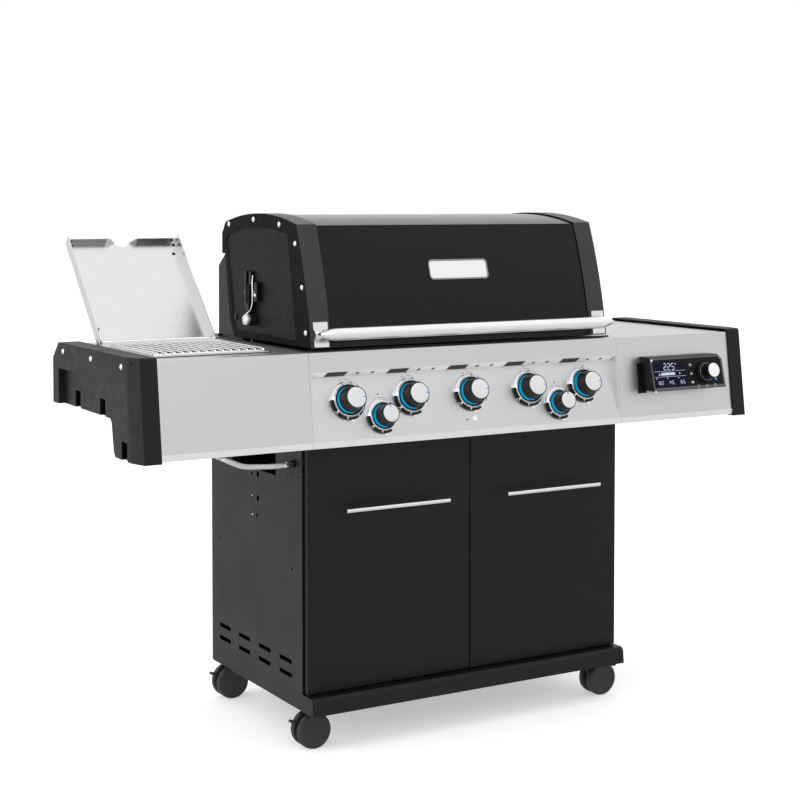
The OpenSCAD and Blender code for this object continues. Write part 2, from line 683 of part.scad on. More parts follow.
module lid_end_cap() {
    side = concat(lid_outline(0, 0), [lid_tail, [457, 1060], [436, 940], [430, 900], [412, 874],
                                      [404, lid_bottom]]);
    sunk = concat([[87, 880]], arc_points(crown_c, crown_r - sunk_below, 101, crown_end, 10),
                  [[453, 1089], [420, 940], [417, 905], [404, 884]]);
    difference() {
        union() {
            span_x(lid_half - lid_cap_w, lid_half) lid_ring(0, cap_wall);
            span_x(lid_half - 2 * sunk_depth, lid_half - sunk_depth) polygon(side);
            span_x(lid_half - 2 * sunk_depth, lid_half) difference() {
                polygon(side);
                polygon(sunk);
            }
        }
        rod_x(lid_pin_r + running, lid_half - 20, lid_half + 5, lid_pivot.x, lid_pivot.y);
        for (p = front_screws) rod_x(pocket_r, lid_half - pocket_depth, lid_half + 1, p.x, p.y);
    }
}
module lid_end_caps() color("#2c2c2c") grill() mirrored() lid_end_cap();

module lid_handle() color("#dfe1e2") grill() {
    r = handle_d / 2;
    rod_x(r, -handle_half + r, handle_half - r, handle_y, handle_z);
    mirrored() translate([handle_half - r, handle_y, handle_z]) sphere(r);
}

module lid_handle_brackets() color("#d3d5d6") grill() mirrored() {
    plate = [35, 54, 4];
    plate_z = handle_z - 3;
    waist_r = 14;
    waist_x = 26.5;
    tilt = asin((plate_z - front_c.y) / front_r);
    face = lid_front(plate_z);
    difference() {
        translate([handle_bracket_x, face - 0.3, plate_z]) rotate([90 - tilt, 0, 0])
            linear_extrude(plate.z) difference() {
                square([plate.x, plate.y], center = true);
                for (x = [-waist_x, waist_x]) translate([x, 0]) circle(waist_r);
            }
        rod_x(handle_d / 2 + 0.02, 300, 400, handle_y, handle_z);
    }
    difference() {
        rod_y(10, handle_y + 2, face - 2, handle_bracket_x, handle_z);
        rod_x(handle_d / 2, 300, 400, handle_y, handle_z);
    }
}

module nameplate() color("#dddddd") grill() {
    tilt = asin((nameplate_z - front_c.y) / front_r);
    r = 10;
    translate([0, lid_front(nameplate_z, sheet_inset) - 0.4, nameplate_z]) rotate([90 - tilt, 0, 0])
        linear_extrude(3) union() {
            square([158 - 2 * r, 47], center = true);
            square([158, 47 - 2 * r], center = true);
            for (x = [-1, 1], y = [-1, 1]) translate([x * (79 - r), y * (23.5 - r)]) circle(r);
        }
}

module lid_screws() color("#d0d0d0") grill() mirrored()
    for (p = concat(crown_screws, front_screws)) {
        x = p.y < 1100 ? lid_half - pocket_depth : lid_half;
        translate([x, p.x, p.y]) rotate([0, 90, 0]) dome_screw(screw_r, 4);
    }

// Plate with a slot for a spit rod, its latch and the thumb nut that holds them
module spit_bracket() color("#5a5a5a") grill() {
    x = -lid_half + sunk_depth;
    thick = 4;
    nut = [306, 911];
    difference() {
        block([x - thick, 305, 932], [x, 342, 1022]);
        block([x - thick - 1, 317, 948], [x + 1, 331, 1030]);
    }
    block([x - 15, 320, 926], [x - thick, 322, 1004]);
    rod_x(14, x - 14, x, nut.x, nut.y);
    rod_x(12.5, x - 25, x - 14, nut.x, nut.y);
}

// ---------------------------------------------------------------- small parts

module pins_and_screws() color("#c0c0c0") grill() {
    mirrored() {
        rod_x(lid_pin_r, box_half, lid_half - 1, lid_pivot.x, lid_pivot.y);
        translate([door_axis.x, door_axis.y, base_top]) cylinder(r = door_pin_r, h = 14);
        translate([door_axis.x, door_axis.y, 642]) cylinder(r = door_pin_r, h = 12);
        for (p = [[421, 848], [242, 846], [62, 844]])
            translate([overall_half, p[0], p[1]]) rotate([0, 90, 0]) dome_screw(screw_r, 4);
    }
    rod_x(burner_pin_r, burner_lid_x[0] - 3, burner_lid_x[0] + 5, hinge_yz.x, hinge_yz.y);
    rod_x(burner_pin_r, burner_lid_x[1] - 5, burner_lid_x[1] + 3, hinge_yz.x, hinge_yz.y);
}

module grease_tray() color("#9c9c9c") grill() difference() {
    t = 1.5;
    trough = tray_half - 12;
    low = tray_z[0] - 20;
    union() {
        block([-trough, tray_y[0], low], [trough, tray_y[1], tray_z[0] + t]);
        block([-tray_half, tray_y[0], tray_z[0]], [tray_half, tray_y[1], tray_z[0] + t]);
        block([-tray_half, tray_y[1] - t, low], [tray_half, tray_y[1], tray_z[1] - 8]);
    }
    block([-trough + t, tray_y[0] + t, low + t], [trough - t, tray_y[1] - 2 * t, tray_z[1] + 1]);
}

// ---------------------------------------------------------------- casters

// Puts a caster drawn with its axle trailing towards +X under its corner
module at_caster(c) grill() translate([c[1] * stem_x, c[2], 0])
    if (c[1] < 0) mirror([1, 0, 0]) children();
    else children();

lever_pivot = [trail + 15, 57];

module caster_fork(c) color("#222222") at_caster(c) {
    translate([0, 0, 60]) cylinder(r = caster_stem_r, h = base_bottom + 20 - 60);
    translate([0, 0, 2 * wheel_r + 1.4]) cylinder(r = 13, h = base_bottom - 1 - 2 * wheel_r - 1.4);
    difference() {
        rotate([90, 0, 0]) linear_extrude(11, center = true) union() {
            translate([trail, wheel_r]) circle(30);
            translate([-9, 42]) square([trail + 9, 26]);
            translate([-9, 66]) square([18, 2 * wheel_r + 3 - 66]);
        }
        block([trail + 7, -3, 46], [trail + 40, 3, 80]);
    }
    rod_y(4, -23, 23, trail, wheel_r);
    rod_y(2, -5.5, 5.5, lever_pivot.x, lever_pivot.y);
}

module caster_wheels(c) color("#2a2a2a") at_caster(c)
    for (s = [0, 180]) rotate([0, 0, s]) translate([s == 0 ? trail : -trail, 0, wheel_r])
        rotate([90, 0, 0]) rotate_extrude($fn = 96) polygon([[4 + running, 6.2], [wheel_r - 3, 6.2],
            [wheel_r, 8.5], [wheel_r, 20], [wheel_r - 4, 23.5], [4 + running, 23.5]]);

module brake_lever(c) color("#202020") at_caster(c) difference() {
    union() {
        rotate([90, 0, 0]) linear_extrude(5.4, center = true) union() {
            translate(lever_pivot) circle(4.5);
            polygon([[lever_pivot.x, lever_pivot.y - 2], [trail + 46, 60], [trail + 46, 64],
                     [lever_pivot.x, lever_pivot.y + 4.5]]);
        }
        block([trail + 43, -8, 60], [trail + 50, 8, 64]);
    }
    rod_y(2 + running, -6, 6, lever_pivot.x, lever_pivot.y);
}

// ---------------------------------------------------------------- assembly

base_pan();
side_panel_left();
side_panel_right();
back_panel();
front_frame();
firebox();
burner_tubes();
flame_tamers();
cooking_grates();
warming_rack();
rear_burner();
gas_manifold();
control_panel();
knob_bezels();
shelf_left();
shelf_right();
shelf_end_caps();
side_burner_bowl();
side_burner_head();
side_burner_grate();
gas_hose();
controller_housing();
controller_screen();
pins_and_screws();
lid_shell();
lid_end_caps();
lid_handle();
lid_handle_brackets();
nameplate();
lid_screws();
spit_bracket();
burner_lid();
door_left();
door_right();
door_handle_left();
door_handle_right();
for (i = [0 : 4]) knob(knobs[i]);
knob(knobs[5]);  // side_burner_knob
knob(knobs[6]);  // rear_burner_knob
temperature_dial();
for (i = [0 : 2]) panel_button(i);
grease_tray();
for (c = CASTERS) caster_fork(c);
for (c = CASTERS) caster_wheels(c);
for (c = CASTERS) brake_lever(c);
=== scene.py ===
"""Looks of the gas grill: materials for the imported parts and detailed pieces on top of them."""
import json
import math

import bmesh
import bpy
from mathutils import Matrix, Vector

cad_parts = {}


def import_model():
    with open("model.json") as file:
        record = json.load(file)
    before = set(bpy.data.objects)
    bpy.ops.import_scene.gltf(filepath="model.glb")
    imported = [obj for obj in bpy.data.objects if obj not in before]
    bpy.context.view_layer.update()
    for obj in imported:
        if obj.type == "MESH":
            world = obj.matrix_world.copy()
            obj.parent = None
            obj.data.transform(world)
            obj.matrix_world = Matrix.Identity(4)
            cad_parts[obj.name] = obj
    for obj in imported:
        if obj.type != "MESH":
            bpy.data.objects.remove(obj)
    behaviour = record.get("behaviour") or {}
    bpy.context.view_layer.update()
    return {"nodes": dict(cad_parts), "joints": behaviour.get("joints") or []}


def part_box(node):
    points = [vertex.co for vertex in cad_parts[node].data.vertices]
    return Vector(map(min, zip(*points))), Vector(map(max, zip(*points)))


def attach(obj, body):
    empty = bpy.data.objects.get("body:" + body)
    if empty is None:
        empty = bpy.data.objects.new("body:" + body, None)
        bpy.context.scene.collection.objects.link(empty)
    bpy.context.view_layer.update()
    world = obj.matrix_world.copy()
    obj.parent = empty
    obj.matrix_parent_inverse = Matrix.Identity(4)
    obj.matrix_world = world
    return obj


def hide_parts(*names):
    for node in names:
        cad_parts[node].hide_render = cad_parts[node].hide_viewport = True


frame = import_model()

NODES = frame["nodes"]
JOINTS = {j["name"]: j for j in frame["joints"]}
MM = 0.001
# Where the door plane, from which the CAD source counts y, lies in front of the frame's middle
CAD_ORIGIN_Y = 250
# Distance between the slot groups of the panel's step
LOUVER_PITCH = 154.6
BURNER_LID_OPEN = math.radians(46.8)
CORNERS = ("front_left", "front_right", "rear_left", "rear_right")

# Millimetres: lid handle posts from the middle, caster wheel, and outer radius of the chrome bezels
HANDLE_POST_X = 370
WHEEL_R = 39
BEZEL_R = {"main": 42.5, "small": 38}
# Inner radius of the light collars, and the size of each kind of knob with its cap
COLLAR_R = {"main": 27.4, "small": 23.4}
GRIP_R = {"main": 27.0, "small": 23.0}
CAP_R = {"main": 21.3, "small": 18.0}
# Notches under the shelf end caps: y from the door plane, z, and how deep their hooks hang
CAP_NOTCHES = ((357, 728, 24), (187, 728, 18), (50, 653, 12))
# Slots of the panel's step: distance from the first one's middle, and half the width
STEP_SLOTS = ((0, 25), (53, 4), (91, 4))
STEP_SLOT_START = -32
SMALL_SLOT = 10
# Upper and lower edge of the step, as in the CAD source: millimetres, y from the door plane
STEP_TOP = Vector((0, -7.6, 816.2))
STEP_BOTTOM = Vector((0, 13.4, 804.2))
# How far the lower fold band of each shelf reaches out from the panel
SHELF_BAND_END = 343.9
# Side burner lid, seen from its hinge: level of the inner face, and distance of the front flange
BURNER_LID_FACE = -18.45
BURNER_LID_FLANGE = 311.4
# Knobs, counted from 0, with a flame sign printed above them
FLAME_KNOBS = (1, 2, 3, 5, 6)
# Edges sharper than this are bevelled, in degrees
BEVEL_ANGLE = 28

# The gas hose, point by point as in the CAD source: millimetres, y from the door plane
HOSE_ROUTE = [
    (-602, 205, 800), (-602, 206, 778), (-596, 214, 750), (-582, 236, 716), (-558, 272, 684),
    (-526, 318, 650), (-492, 360, 619), (-460, 390, 597), (-438, 395, 585), (-427, 372, 579),
    (-425, 335, 577), (-425, 300, 577), (-425, 265, 580), (-425, 230, 585), (-425, 190, 591),
    (-425, 150, 597), (-425, 110, 604), (-425, 80, 610), (-425, 60, 615)]


# ---------------------------------------------------------------- materials

class Paint:
    """A Principled material and the node patterns that its colour, gloss and relief come from."""

    def __init__(self, name, color, rough, metal=0.0, **sockets):
        self.mat = bpy.data.materials.new(name)
        self.mat.use_nodes = True
        self.tree = self.mat.node_tree
        self.bsdf = self.tree.nodes["Principled BSDF"]
        self.color, self.rough = tuple(color), rough
        self.bsdf.inputs["Base Color"].default_value = (*color, 1.0)
        self.bsdf.inputs["Roughness"].default_value = rough
        self.bsdf.inputs["Metallic"].default_value = metal
        for socket, value in sockets.items():
            self.bsdf.inputs[socket.replace("_", " ")].default_value = value
        coords = self.node("ShaderNodeTexCoord")
        self.place = coords.outputs["Object"]
        self.height = None

    def node(self, kind, **settings):
        made = self.tree.nodes.new(kind)
        for key, value in settings.items():
            setattr(made, key, value)
        return made

    def link(self, a, b):
        self.tree.links.new(a, b)

    def stretched(self, scale):
        """The place, stretched by scale along X, Y and Z."""
        mapping = self.node("ShaderNodeMapping")
        mapping.inputs["Scale"].default_value = scale
        self.link(self.place, mapping.inputs["Vector"])
        return mapping.outputs["Vector"]

    def noise(self, scale, detail=3.0, stretch=None, rough=0.55):
        made = self.node("ShaderNodeTexNoise")
        made.inputs["Scale"].default_value = scale
        made.inputs["Detail"].default_value = detail
        made.inputs["Roughness"].default_value = rough
        self.link(self.stretched(stretch) if stretch else self.place, made.inputs["Vector"])
        return made.outputs["Fac"]

    def spread(self, value, low, high):
        """A 0 to 1 pattern spread over low to high."""
        made = self.node("ShaderNodeMapRange")
        made.inputs["From Min"].default_value = 0.3
        made.inputs["From Max"].default_value = 0.7
        made.inputs["To Min"].default_value = low
        made.inputs["To Max"].default_value = high
        self.link(value, made.inputs["Value"])
        return made.outputs["Result"]

    def vary_color(self, pattern, amount, tint=(1.0, 1.0, 1.0)):
        """The colour moves darker and lighter by amount along the pattern."""
        mix = self.node("ShaderNodeMix", data_type="RGBA")
        dark = [c * (1 - amount) for c in self.color]
        light = [min(1.0, c * (1 + amount) * t) for c, t in zip(self.color, tint)]
        mix.inputs["A"].default_value = (*dark, 1.0)
        mix.inputs["B"].default_value = (*light, 1.0)
        self.link(self.spread(pattern, 0.0, 1.0), mix.inputs["Factor"])
        self.link(mix.outputs["Result"], self.bsdf.inputs["Base Color"])
        return self

    def vary_rough(self, pattern, amount):
        """The roughness moves up and down by amount along the pattern."""
        low, high = max(0.02, self.rough - amount), min(1.0, self.rough + amount)
        self.link(self.spread(pattern, low, high), self.bsdf.inputs["Roughness"])
        return self

    def relief(self, pattern, depth, strength=1.0):
        """Bump of that depth in metres, on top of any relief the material already has."""
        bump = self.node("ShaderNodeBump")
        bump.inputs["Distance"].default_value = depth
        bump.inputs["Strength"].default_value = strength
        self.link(pattern, bump.inputs["Height"])
        if self.height is not None:
            self.link(self.height, bump.inputs["Normal"])
        self.height = bump.outputs["Normal"]
        self.link(self.height, self.bsdf.inputs["Normal"])
        return self


def powder_coat(name, color, rough=0.42, gloss=0.3):
    p = Paint(name, color, rough, Specular_IOR_Level=gloss)
    p.vary_color(p.noise(6.0), 0.06)
    p.vary_rough(p.noise(9.0, 4.0), 0.05)
    return p.relief(p.noise(1900.0, 2.0), 0.00006).mat


def gloss_enamel(name, color, rough=0.13):
    p = Paint(name, color, rough, Specular_IOR_Level=0.21)
    p.vary_color(p.noise(4.0), 0.08)
    p.vary_rough(p.noise(12.0, 5.0), 0.03)
    return p.relief(p.noise(160.0, 2.0), 0.00004).mat


def cast_paint(name, color, rough=0.48, gloss=0.5):
    p = Paint(name, color, rough, Specular_IOR_Level=gloss)
    p.vary_color(p.noise(30.0, 5.0), 0.09)
    p.vary_rough(p.noise(80.0), 0.06)
    p.relief(p.noise(900.0, 3.0), 0.00012)
    return p.relief(p.noise(60.0, 2.0), 0.0002, 0.5).mat


def brushed(name, color, rough, along, fine=900.0):
    """Steel with grain running along one axis: (1, 0, 0), (0, 1, 0) or (0, 0, 1)."""
    stretch = [0.012 if a else 1.0 for a in along]
    p = Paint(name, color, rough, 1.0)
    grain = p.noise(fine, 4.0, stretch, 0.7)
    p.vary_color(grain, 0.015)
    p.vary_rough(p.noise(fine * 0.6, 3.0, stretch, 0.6), 0.03)
    p.relief(grain, 0.00001, 0.3)
    return p.relief(p.noise(2.2, 2.0), 0.0004, 0.1).mat


def polished(name, color=(0.82, 0.82, 0.83), rough=0.09):
    p = Paint(name, color, rough, 1.0)
    p.vary_color(p.noise(14.0), 0.03)
    return p.vary_rough(p.noise(60.0, 4.0), 0.035).mat


def spun(name, color, rough):
    """Metal turned on a lathe: fine rings about the piece's own Z axis."""
    p = Paint(name, color, rough, 1.0)
    wave = p.node("ShaderNodeTexWave", wave_type="RINGS", rings_direction="Z")
    wave.inputs["Scale"].default_value = 420.0
    wave.inputs["Distortion"].default_value = 1.5
    p.link(p.place, wave.inputs["Vector"])
    p.vary_color(p.noise(300.0), 0.04)
    p.vary_rough(p.noise(200.0), 0.05)
    return p.relief(wave.outputs["Fac"], 0.00001, 0.3).mat


def plastic(name, color, rough=0.5, grain=0.00008, gloss=0.4):
    p = Paint(name, color, rough, Specular_IOR_Level=gloss)
    p.vary_color(p.noise(25.0, 4.0), 0.06)
    p.vary_rough(p.noise(40.0), 0.05)
    return p.relief(p.noise(1500.0, 3.0), grain).mat


def rubber(name, color):
    p = Paint(name, color, 0.62)
    p.vary_color(p.noise(60.0, 5.0), 0.16, (1.1, 1.08, 1.04))
    p.vary_rough(p.noise(90.0), 0.1)
    return p.relief(p.noise(700.0, 3.0), 0.00015).mat


def iron(name, color):
    p = Paint(name, color, 0.55)
    p.vary_color(p.noise(50.0, 6.0), 0.2, (1.15, 1.08, 1.0))
    p.vary_rough(p.noise(70.0), 0.12)
    return p.relief(p.noise(450.0, 5.0), 0.0004).mat


def glowing(name, color, glow, strength, gloss=0.4):
    p = Paint(name, color, 0.25, Emission_Strength=strength, Specular_IOR_Level=gloss)
    p.bsdf.inputs["Emission Color"].default_value = (*glow, 1.0)
    p.vary_color(p.noise(90.0), 0.05)
    return p.vary_rough(p.noise(120.0), 0.05).mat


MAT = {
    "coat_black": powder_coat("coat_black", (0.0062, 0.0062, 0.0062), 0.40, 0.22),
    # Lighter copy of coat_black: painted light on the cabinet's sideways-facing side panels
    "coat_side_painted_light": powder_coat("coat_side_painted_light", (0.0115, 0.0115, 0.0115), 0.46, 0.28),
    # Darker copy of coat_black: painted shade that keeps the base pan, front frame and back panel
    # dark under the floor's light
    "coat_pan_painted_shade": powder_coat("coat_pan_painted_shade", (0.0052, 0.0052, 0.0052), 0.40, 0.26),
    "enamel": gloss_enamel("enamel", (0.006, 0.006, 0.006)),
    "steel_x": brushed("steel_x", (0.70, 0.705, 0.715), 0.36, (1, 0, 0)),
    # Lighter copy of steel_x: painted sheen on the lower fold band of the panel and shelves
    "steel_painted_sheen": brushed("steel_painted_sheen", (0.90, 0.905, 0.91), 0.42, (1, 0, 0)),
    "steel_lid": brushed("steel_lid", (0.80, 0.805, 0.81), 0.27, (1, 0, 0)),
    "steel_dull": brushed("steel_dull", (0.46, 0.45, 0.43), 0.45, (0, 1, 0), 500.0),
    "chrome": polished("chrome"),
    "rod": polished("rod", (0.92, 0.92, 0.92), 0.22),
    "chrome_dark": polished("chrome_dark", (0.30, 0.30, 0.305), 0.16),
    "handle": polished("handle", (0.94, 0.94, 0.945), 0.22),
    "satin": spun("satin", (0.82, 0.82, 0.82), 0.30),
    "cast_lid": cast_paint("cast_lid", (0.0115, 0.0115, 0.0115), 0.40, 0.58),
    # Painted shade: darker copies of cast_lid for the lid end caps' sideways faces, field and rim
    "cast_field_painted_shade": cast_paint("cast_field_painted_shade", (0.0042, 0.0042, 0.0042), 0.42, 0.14),
    "cast_rim_painted_shade": cast_paint("cast_rim_painted_shade", (0.0024, 0.0024, 0.0024), 0.42, 0.05),
    "bright_steel": spun("bright_steel", (0.95, 0.95, 0.95), 0.42),
    # Bright diffuse plastic for real light parts; also the painted highlight on the panel's step
    "bright": plastic("bright", (0.85, 0.85, 0.85), 0.30, 0.00002),
    # Painted shade inside the step's slots
    "slot_painted_shade": plastic("slot_painted_shade", (0.035, 0.035, 0.035), 0.45, 0.00004, 0.30),
    "moulded": plastic("moulded", (0.0072, 0.0072, 0.0072), 0.46, 0.00012, 0.22),
    "knob_black": plastic("knob_black", (0.012, 0.012, 0.012), 0.38, 0.00004),
    "housing": plastic("housing", (0.0055, 0.0055, 0.0055), 0.36, 0.00006, 0.16),
    "frame_grey": plastic("frame_grey", (0.085, 0.085, 0.087), 0.36, 0.00005),
    # Black plastic for the real dark parts; also carries the painted dark reflection on the bezels
    # and the painted shade of the burner lid's corner holes and the end cap notches
    "bezel_dark": plastic("bezel_dark", (0.005, 0.005, 0.005), 0.30, 0.00003, 0.25),
    "rubber": rubber("rubber", (0.016, 0.016, 0.016)),
    "iron": iron("iron", (0.022, 0.022, 0.022)),
    "brass": polished("brass", (0.55, 0.42, 0.20), 0.32),
    "cyan": glowing("cyan", (0.0, 0.20, 0.38), (0.0, 0.32, 0.58), 0.58),
    "pointer": plastic("pointer", (0.02, 0.20, 0.90), 0.35, 0.00002),
    "ink": plastic("ink", (0.16, 0.16, 0.165), 0.55, 0.00001),
    "screen": glowing("screen", (0.001, 0.002, 0.012), (0.01, 0.02, 0.12), 0.03, 0.12),
    "digits": glowing("digits", (0.40, 0.44, 0.52), (0.75, 0.82, 1.0), 0.22),
}


# ---------------------------------------------------------------- mesh building

def frame_at(pos, normal, right=(1, 0, 0)):
    """Local Z along normal, local X as near to right as it can be."""
    z = Vector(normal).normalized()
    x = Vector(right)
    x = (x - z * x.dot(z)).normalized()
    m = Matrix((x, z.cross(x), z)).transposed().to_4x4()
    m.translation = Vector(pos)
    return m


class Shape:
    """One piece: mesh parts are added in millimetres in the piece's own frame, then finished."""

    def __init__(self, at=None):
        self.bm = bmesh.new()
        self.at = at or Matrix.Identity(4)

    def face(self, verts, mat):
        """One face, left out where its corners already have one or are fewer than three."""
        try:
            f = self.bm.faces.new(verts)
            f.material_index = mat
        except ValueError:
            pass

    def lathe(self, profile, seg=64, mat=0, ring=False, move=(0, 0, 0), turn=None):
        """Turns (radius, height) points about local Z. ring joins the last point to the first."""
        place = Matrix.Translation(Vector(move) * MM) @ (turn or Matrix.Identity(4))
        rows = []
        for r, z in profile:
            if r <= 0:
                rows.append([self.bm.verts.new(place @ Vector((0, 0, z * MM)))] * seg)
                continue
            rows.append([self.bm.verts.new(place @ Vector((r * MM * math.cos(2 * math.pi * i / seg),
                         r * MM * math.sin(2 * math.pi * i / seg), z * MM))) for i in range(seg)])
        pairs = list(zip(rows, rows[1:] + (rows[:1] if ring else [])))
        for low, high in pairs[:None if ring else len(rows) - 1]:
            for i in range(seg):
                k = (i + 1) % seg
                corners = [low[i], low[k], high[k], high[i]]
                self.face(list(dict.fromkeys(corners)), mat)
        return self

    def prism(self, outline, low, high, mat=0, turn=None):
        """Extrudes an (x, y) outline along local Z from low to high."""
        turn = turn or Matrix.Identity(4)
        ends = [[self.bm.verts.new(turn @ (Vector((x, y, z)) * MM)) for x, y in outline]
                for z in (low, high)]
        n = len(outline)
        for i in range(n):
            k = (i + 1) % n
            self.face([ends[0][i], ends[0][k], ends[1][k], ends[1][i]], mat)
        self.face(ends[0][::-1], mat)
        self.face(ends[1], mat)
        return self

    def band(self, outer, inner, low, high, mat=0, turn=None):
        """A flat ring between two outlines with the same number of points."""
        turn = turn or Matrix.Identity(4)
        rows = [[self.bm.verts.new(turn @ (Vector((x, y, z)) * MM)) for x, y in outline]
                for outline, z in ((outer, low), (outer, high), (inner, high), (inner, low))]
        n = len(outer)
        for a, b in zip(rows, rows[1:] + rows[:1]):
            for i in range(n):
                k = (i + 1) % n
                self.face([a[i], a[k], b[k], b[i]], mat)
        return self

    def tube(self, points, radius, seg=12, mat=0, radii=None):
        """A round tube along points, closed at both ends."""
        points = [Vector(p) * MM for p in points]
        rows = []
        side = None
        for i, p in enumerate(points):
            d = (points[min(i + 1, len(points) - 1)] - points[max(i - 1, 0)]).normalized()
            if side is None:
                side = d.orthogonal().normalized()
            side = (side - d * side.dot(d)).normalized()
            up = d.cross(side)
            r = (radii[i] if radii else radius) * MM
            rows.append([self.bm.verts.new(p + r * (math.cos(2 * math.pi * k / seg) * side
                         + math.sin(2 * math.pi * k / seg) * up)) for k in range(seg)])
        for low, high in zip(rows, rows[1:]):
            for k in range(seg):
                n = (k + 1) % seg
                self.face([low[k], low[n], high[n], high[k]], mat)
        self.face(rows[0][::-1], mat)
        self.face(rows[-1], mat)
        return self

    def finish(self, name, mats, body, slot, bevel=0.0, replaces=(), sharp=40):
        bmesh.ops.recalc_face_normals(self.bm, faces=self.bm.faces)
        if bevel:
            edges = [e for e in self.bm.edges
                     if e.is_manifold and e.calc_face_angle(0) > math.radians(BEVEL_ANGLE)]
            bmesh.ops.bevel(self.bm, geom=edges, offset=bevel * MM, segments=2, profile=0.6,
                            affect="EDGES", clamp_overlap=True)
        mesh = bpy.data.meshes.new(name)
        self.bm.to_mesh(mesh)
        self.bm.free()
        for m in mats:
            mesh.materials.append(MAT[m])
        mesh.shade_smooth()
        mesh.set_sharp_from_angle(angle=math.radians(sharp))
        obj = bpy.data.objects.new(name, mesh)
        bpy.context.scene.collection.objects.link(obj)
        obj.matrix_world = self.at
        weighted = obj.modifiers.new("even_normals", "WEIGHTED_NORMAL")
        weighted.keep_sharp = True
        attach(obj, body)
        if replaces:
            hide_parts(*replaces)
        return obj


def rounded_rect(w, h, r, steps=6):
    """Points of a rectangle w by h about the origin, its corners rounded to radius r."""
    points = []
    for cx, cy, start in ((w / 2 - r, h / 2 - r, 0), (-w / 2 + r, h / 2 - r, 90),
                          (-w / 2 + r, -h / 2 + r, 180), (w / 2 - r, -h / 2 + r, 270)):
        for i in range(steps + 1):
            a = math.radians(start + 90 * i / steps)
            points.append((cx + r * math.cos(a), cy + r * math.sin(a)))
    return points


def moved(points, dx, dy):
    return [(x + dx, y + dy) for x, y in points]


def circle(r, steps=16):
    return [(r * math.cos(2 * math.pi * i / steps), r * math.sin(2 * math.pi * i / steps))
            for i in range(steps)]


def extent(node, at):
    """Lowest and highest corner of a CAD node in the frame at, in millimetres."""
    inverse = at.inverted()
    points = [inverse @ v.co / MM for v in NODES[node].data.vertices]
    return (Vector([min(p[i] for p in points) for i in range(3)]),
            Vector([max(p[i] for p in points) for i in range(3)]))


def front_face(node):
    """Centre and normal of the largest flat face of a CAD node that looks forward."""
    groups = {}
    for f in NODES[node].data.polygons:
        if f.normal.y < -0.5:
            key = tuple(round(c, 2) for c in f.normal)
            groups.setdefault(key, []).append(f)
    faces = max(groups.values(), key=lambda fs: sum(f.area for f in fs))
    area = sum(f.area for f in faces)
    centre = sum((f.center * f.area for f in faces), Vector()) / area
    return centre, faces[0].normal.copy()


def smooth_route(points, parts=8):
    """Points along a smooth curve through all the given ones."""
    points = [Vector(p) for p in points]
    ends = [2 * points[0] - points[1]] + points + [2 * points[-1] - points[-2]]
    route = []
    for a, b, c, d in zip(ends, ends[1:], ends[2:], ends[3:]):
        for i in range(parts):
            t = i / parts
            route.append(0.5 * (2 * b + (c - a) * t + (2 * a - 5 * b + 4 * c - d) * t ** 2
                                + (3 * b - a - 3 * c + d) * t ** 3))
    return route + [points[-1]]


def soften(node, mat, width=0.8, segments=2):
    """A CAD node keeps its shape: it gets its material, small rounded edges and even shading."""
    obj = NODES[node]
    obj.data.materials.clear()
    obj.data.materials.append(MAT[mat])
    weld = obj.modifiers.new("weld", "WELD")
    weld.merge_threshold = 0.00001
    flat = obj.modifiers.new("flat", "DECIMATE")
    flat.decimate_type = "DISSOLVE"
    flat.angle_limit = math.radians(0.6)
    if width:
        bevel = obj.modifiers.new("edges", "BEVEL")
        bevel.width = width * MM
        bevel.segments = segments
        bevel.limit_method = "ANGLE"
        bevel.angle_limit = math.radians(BEVEL_ANGLE)
        bevel.use_clamp_overlap = True
    weighted = obj.modifiers.new("even_normals", "WEIGHTED_NORMAL")
    weighted.keep_sharp = False


# ---------------------------------------------------------------- CAD nodes that keep their shape

SOFTENED = {
    "coat_pan_painted_shade": {"base_pan": 1.5, "front_frame": 0.5, "back_panel": 0.4},
    "coat_side_painted_light": {"side_panel_left": 0.4, "side_panel_right": 0.4},
    "coat_black": {"door_left": 0.7, "door_right": 0.7, "side_burner_bowl": 0.5},
    "enamel": {"lid_shell": 0.3, "firebox": 1.0},
    "cast_lid": {"lid_end_caps": 1.2},
    "steel_x": {"control_panel": 0.6, "shelf_left": 0.6, "shelf_right": 0.6},
    "steel_lid": {"burner_lid": 0.5},
    "steel_dull": {"burner_tubes": 0.5, "flame_tamers": 0.3, "rear_burner": 0.6,
                   "grease_tray": 0.5},
    "chrome": {"door_handle_left": 0.7, "door_handle_right": 0.7, "lid_handle_brackets": 1.0,
               "warming_rack": 0},
    "bright_steel": {"lid_screws": 0, "pins_and_screws": 0},
    "iron": {"cooking_grates": 1.6},
    "brass": {"gas_manifold": 0.6, "side_burner_head": 0.8},
    "moulded": {"shelf_end_caps": 2.0},
    "housing": {"controller_housing": 1.2},
    "bezel_dark": {f"caster_fork_{c}": 1.2 for c in CORNERS},
    "rubber": {f"brake_lever_{c}": 1.2 for c in CORNERS},
}
for mat, nodes in SOFTENED.items():
    for node, width in nodes.items():
        soften(node, mat, width)


def shade_cap_sides():
    """The lid's end caps get painted shade on their sideways faces: a darker coat on the sunk field
    and a darker one still on the outermost raised rim, chosen by the way each face looks.
    """
    mesh = NODES["lid_end_caps"].data
    mesh.materials.append(MAT["cast_field_painted_shade"])
    mesh.materials.append(MAT["cast_rim_painted_shade"])
    outermost = max(v.co.x for v in mesh.vertices)
    # Sideways faces take the painted shade, the outermost rim the darkest
    for f in mesh.polygons:
        if abs(f.normal.x) > 0.7:
            f.material_index = 2 if abs(f.center.x) > outermost - 0.5 * MM else 1


shade_cap_sides()


# ---------------------------------------------------------------- knobs and their bezels

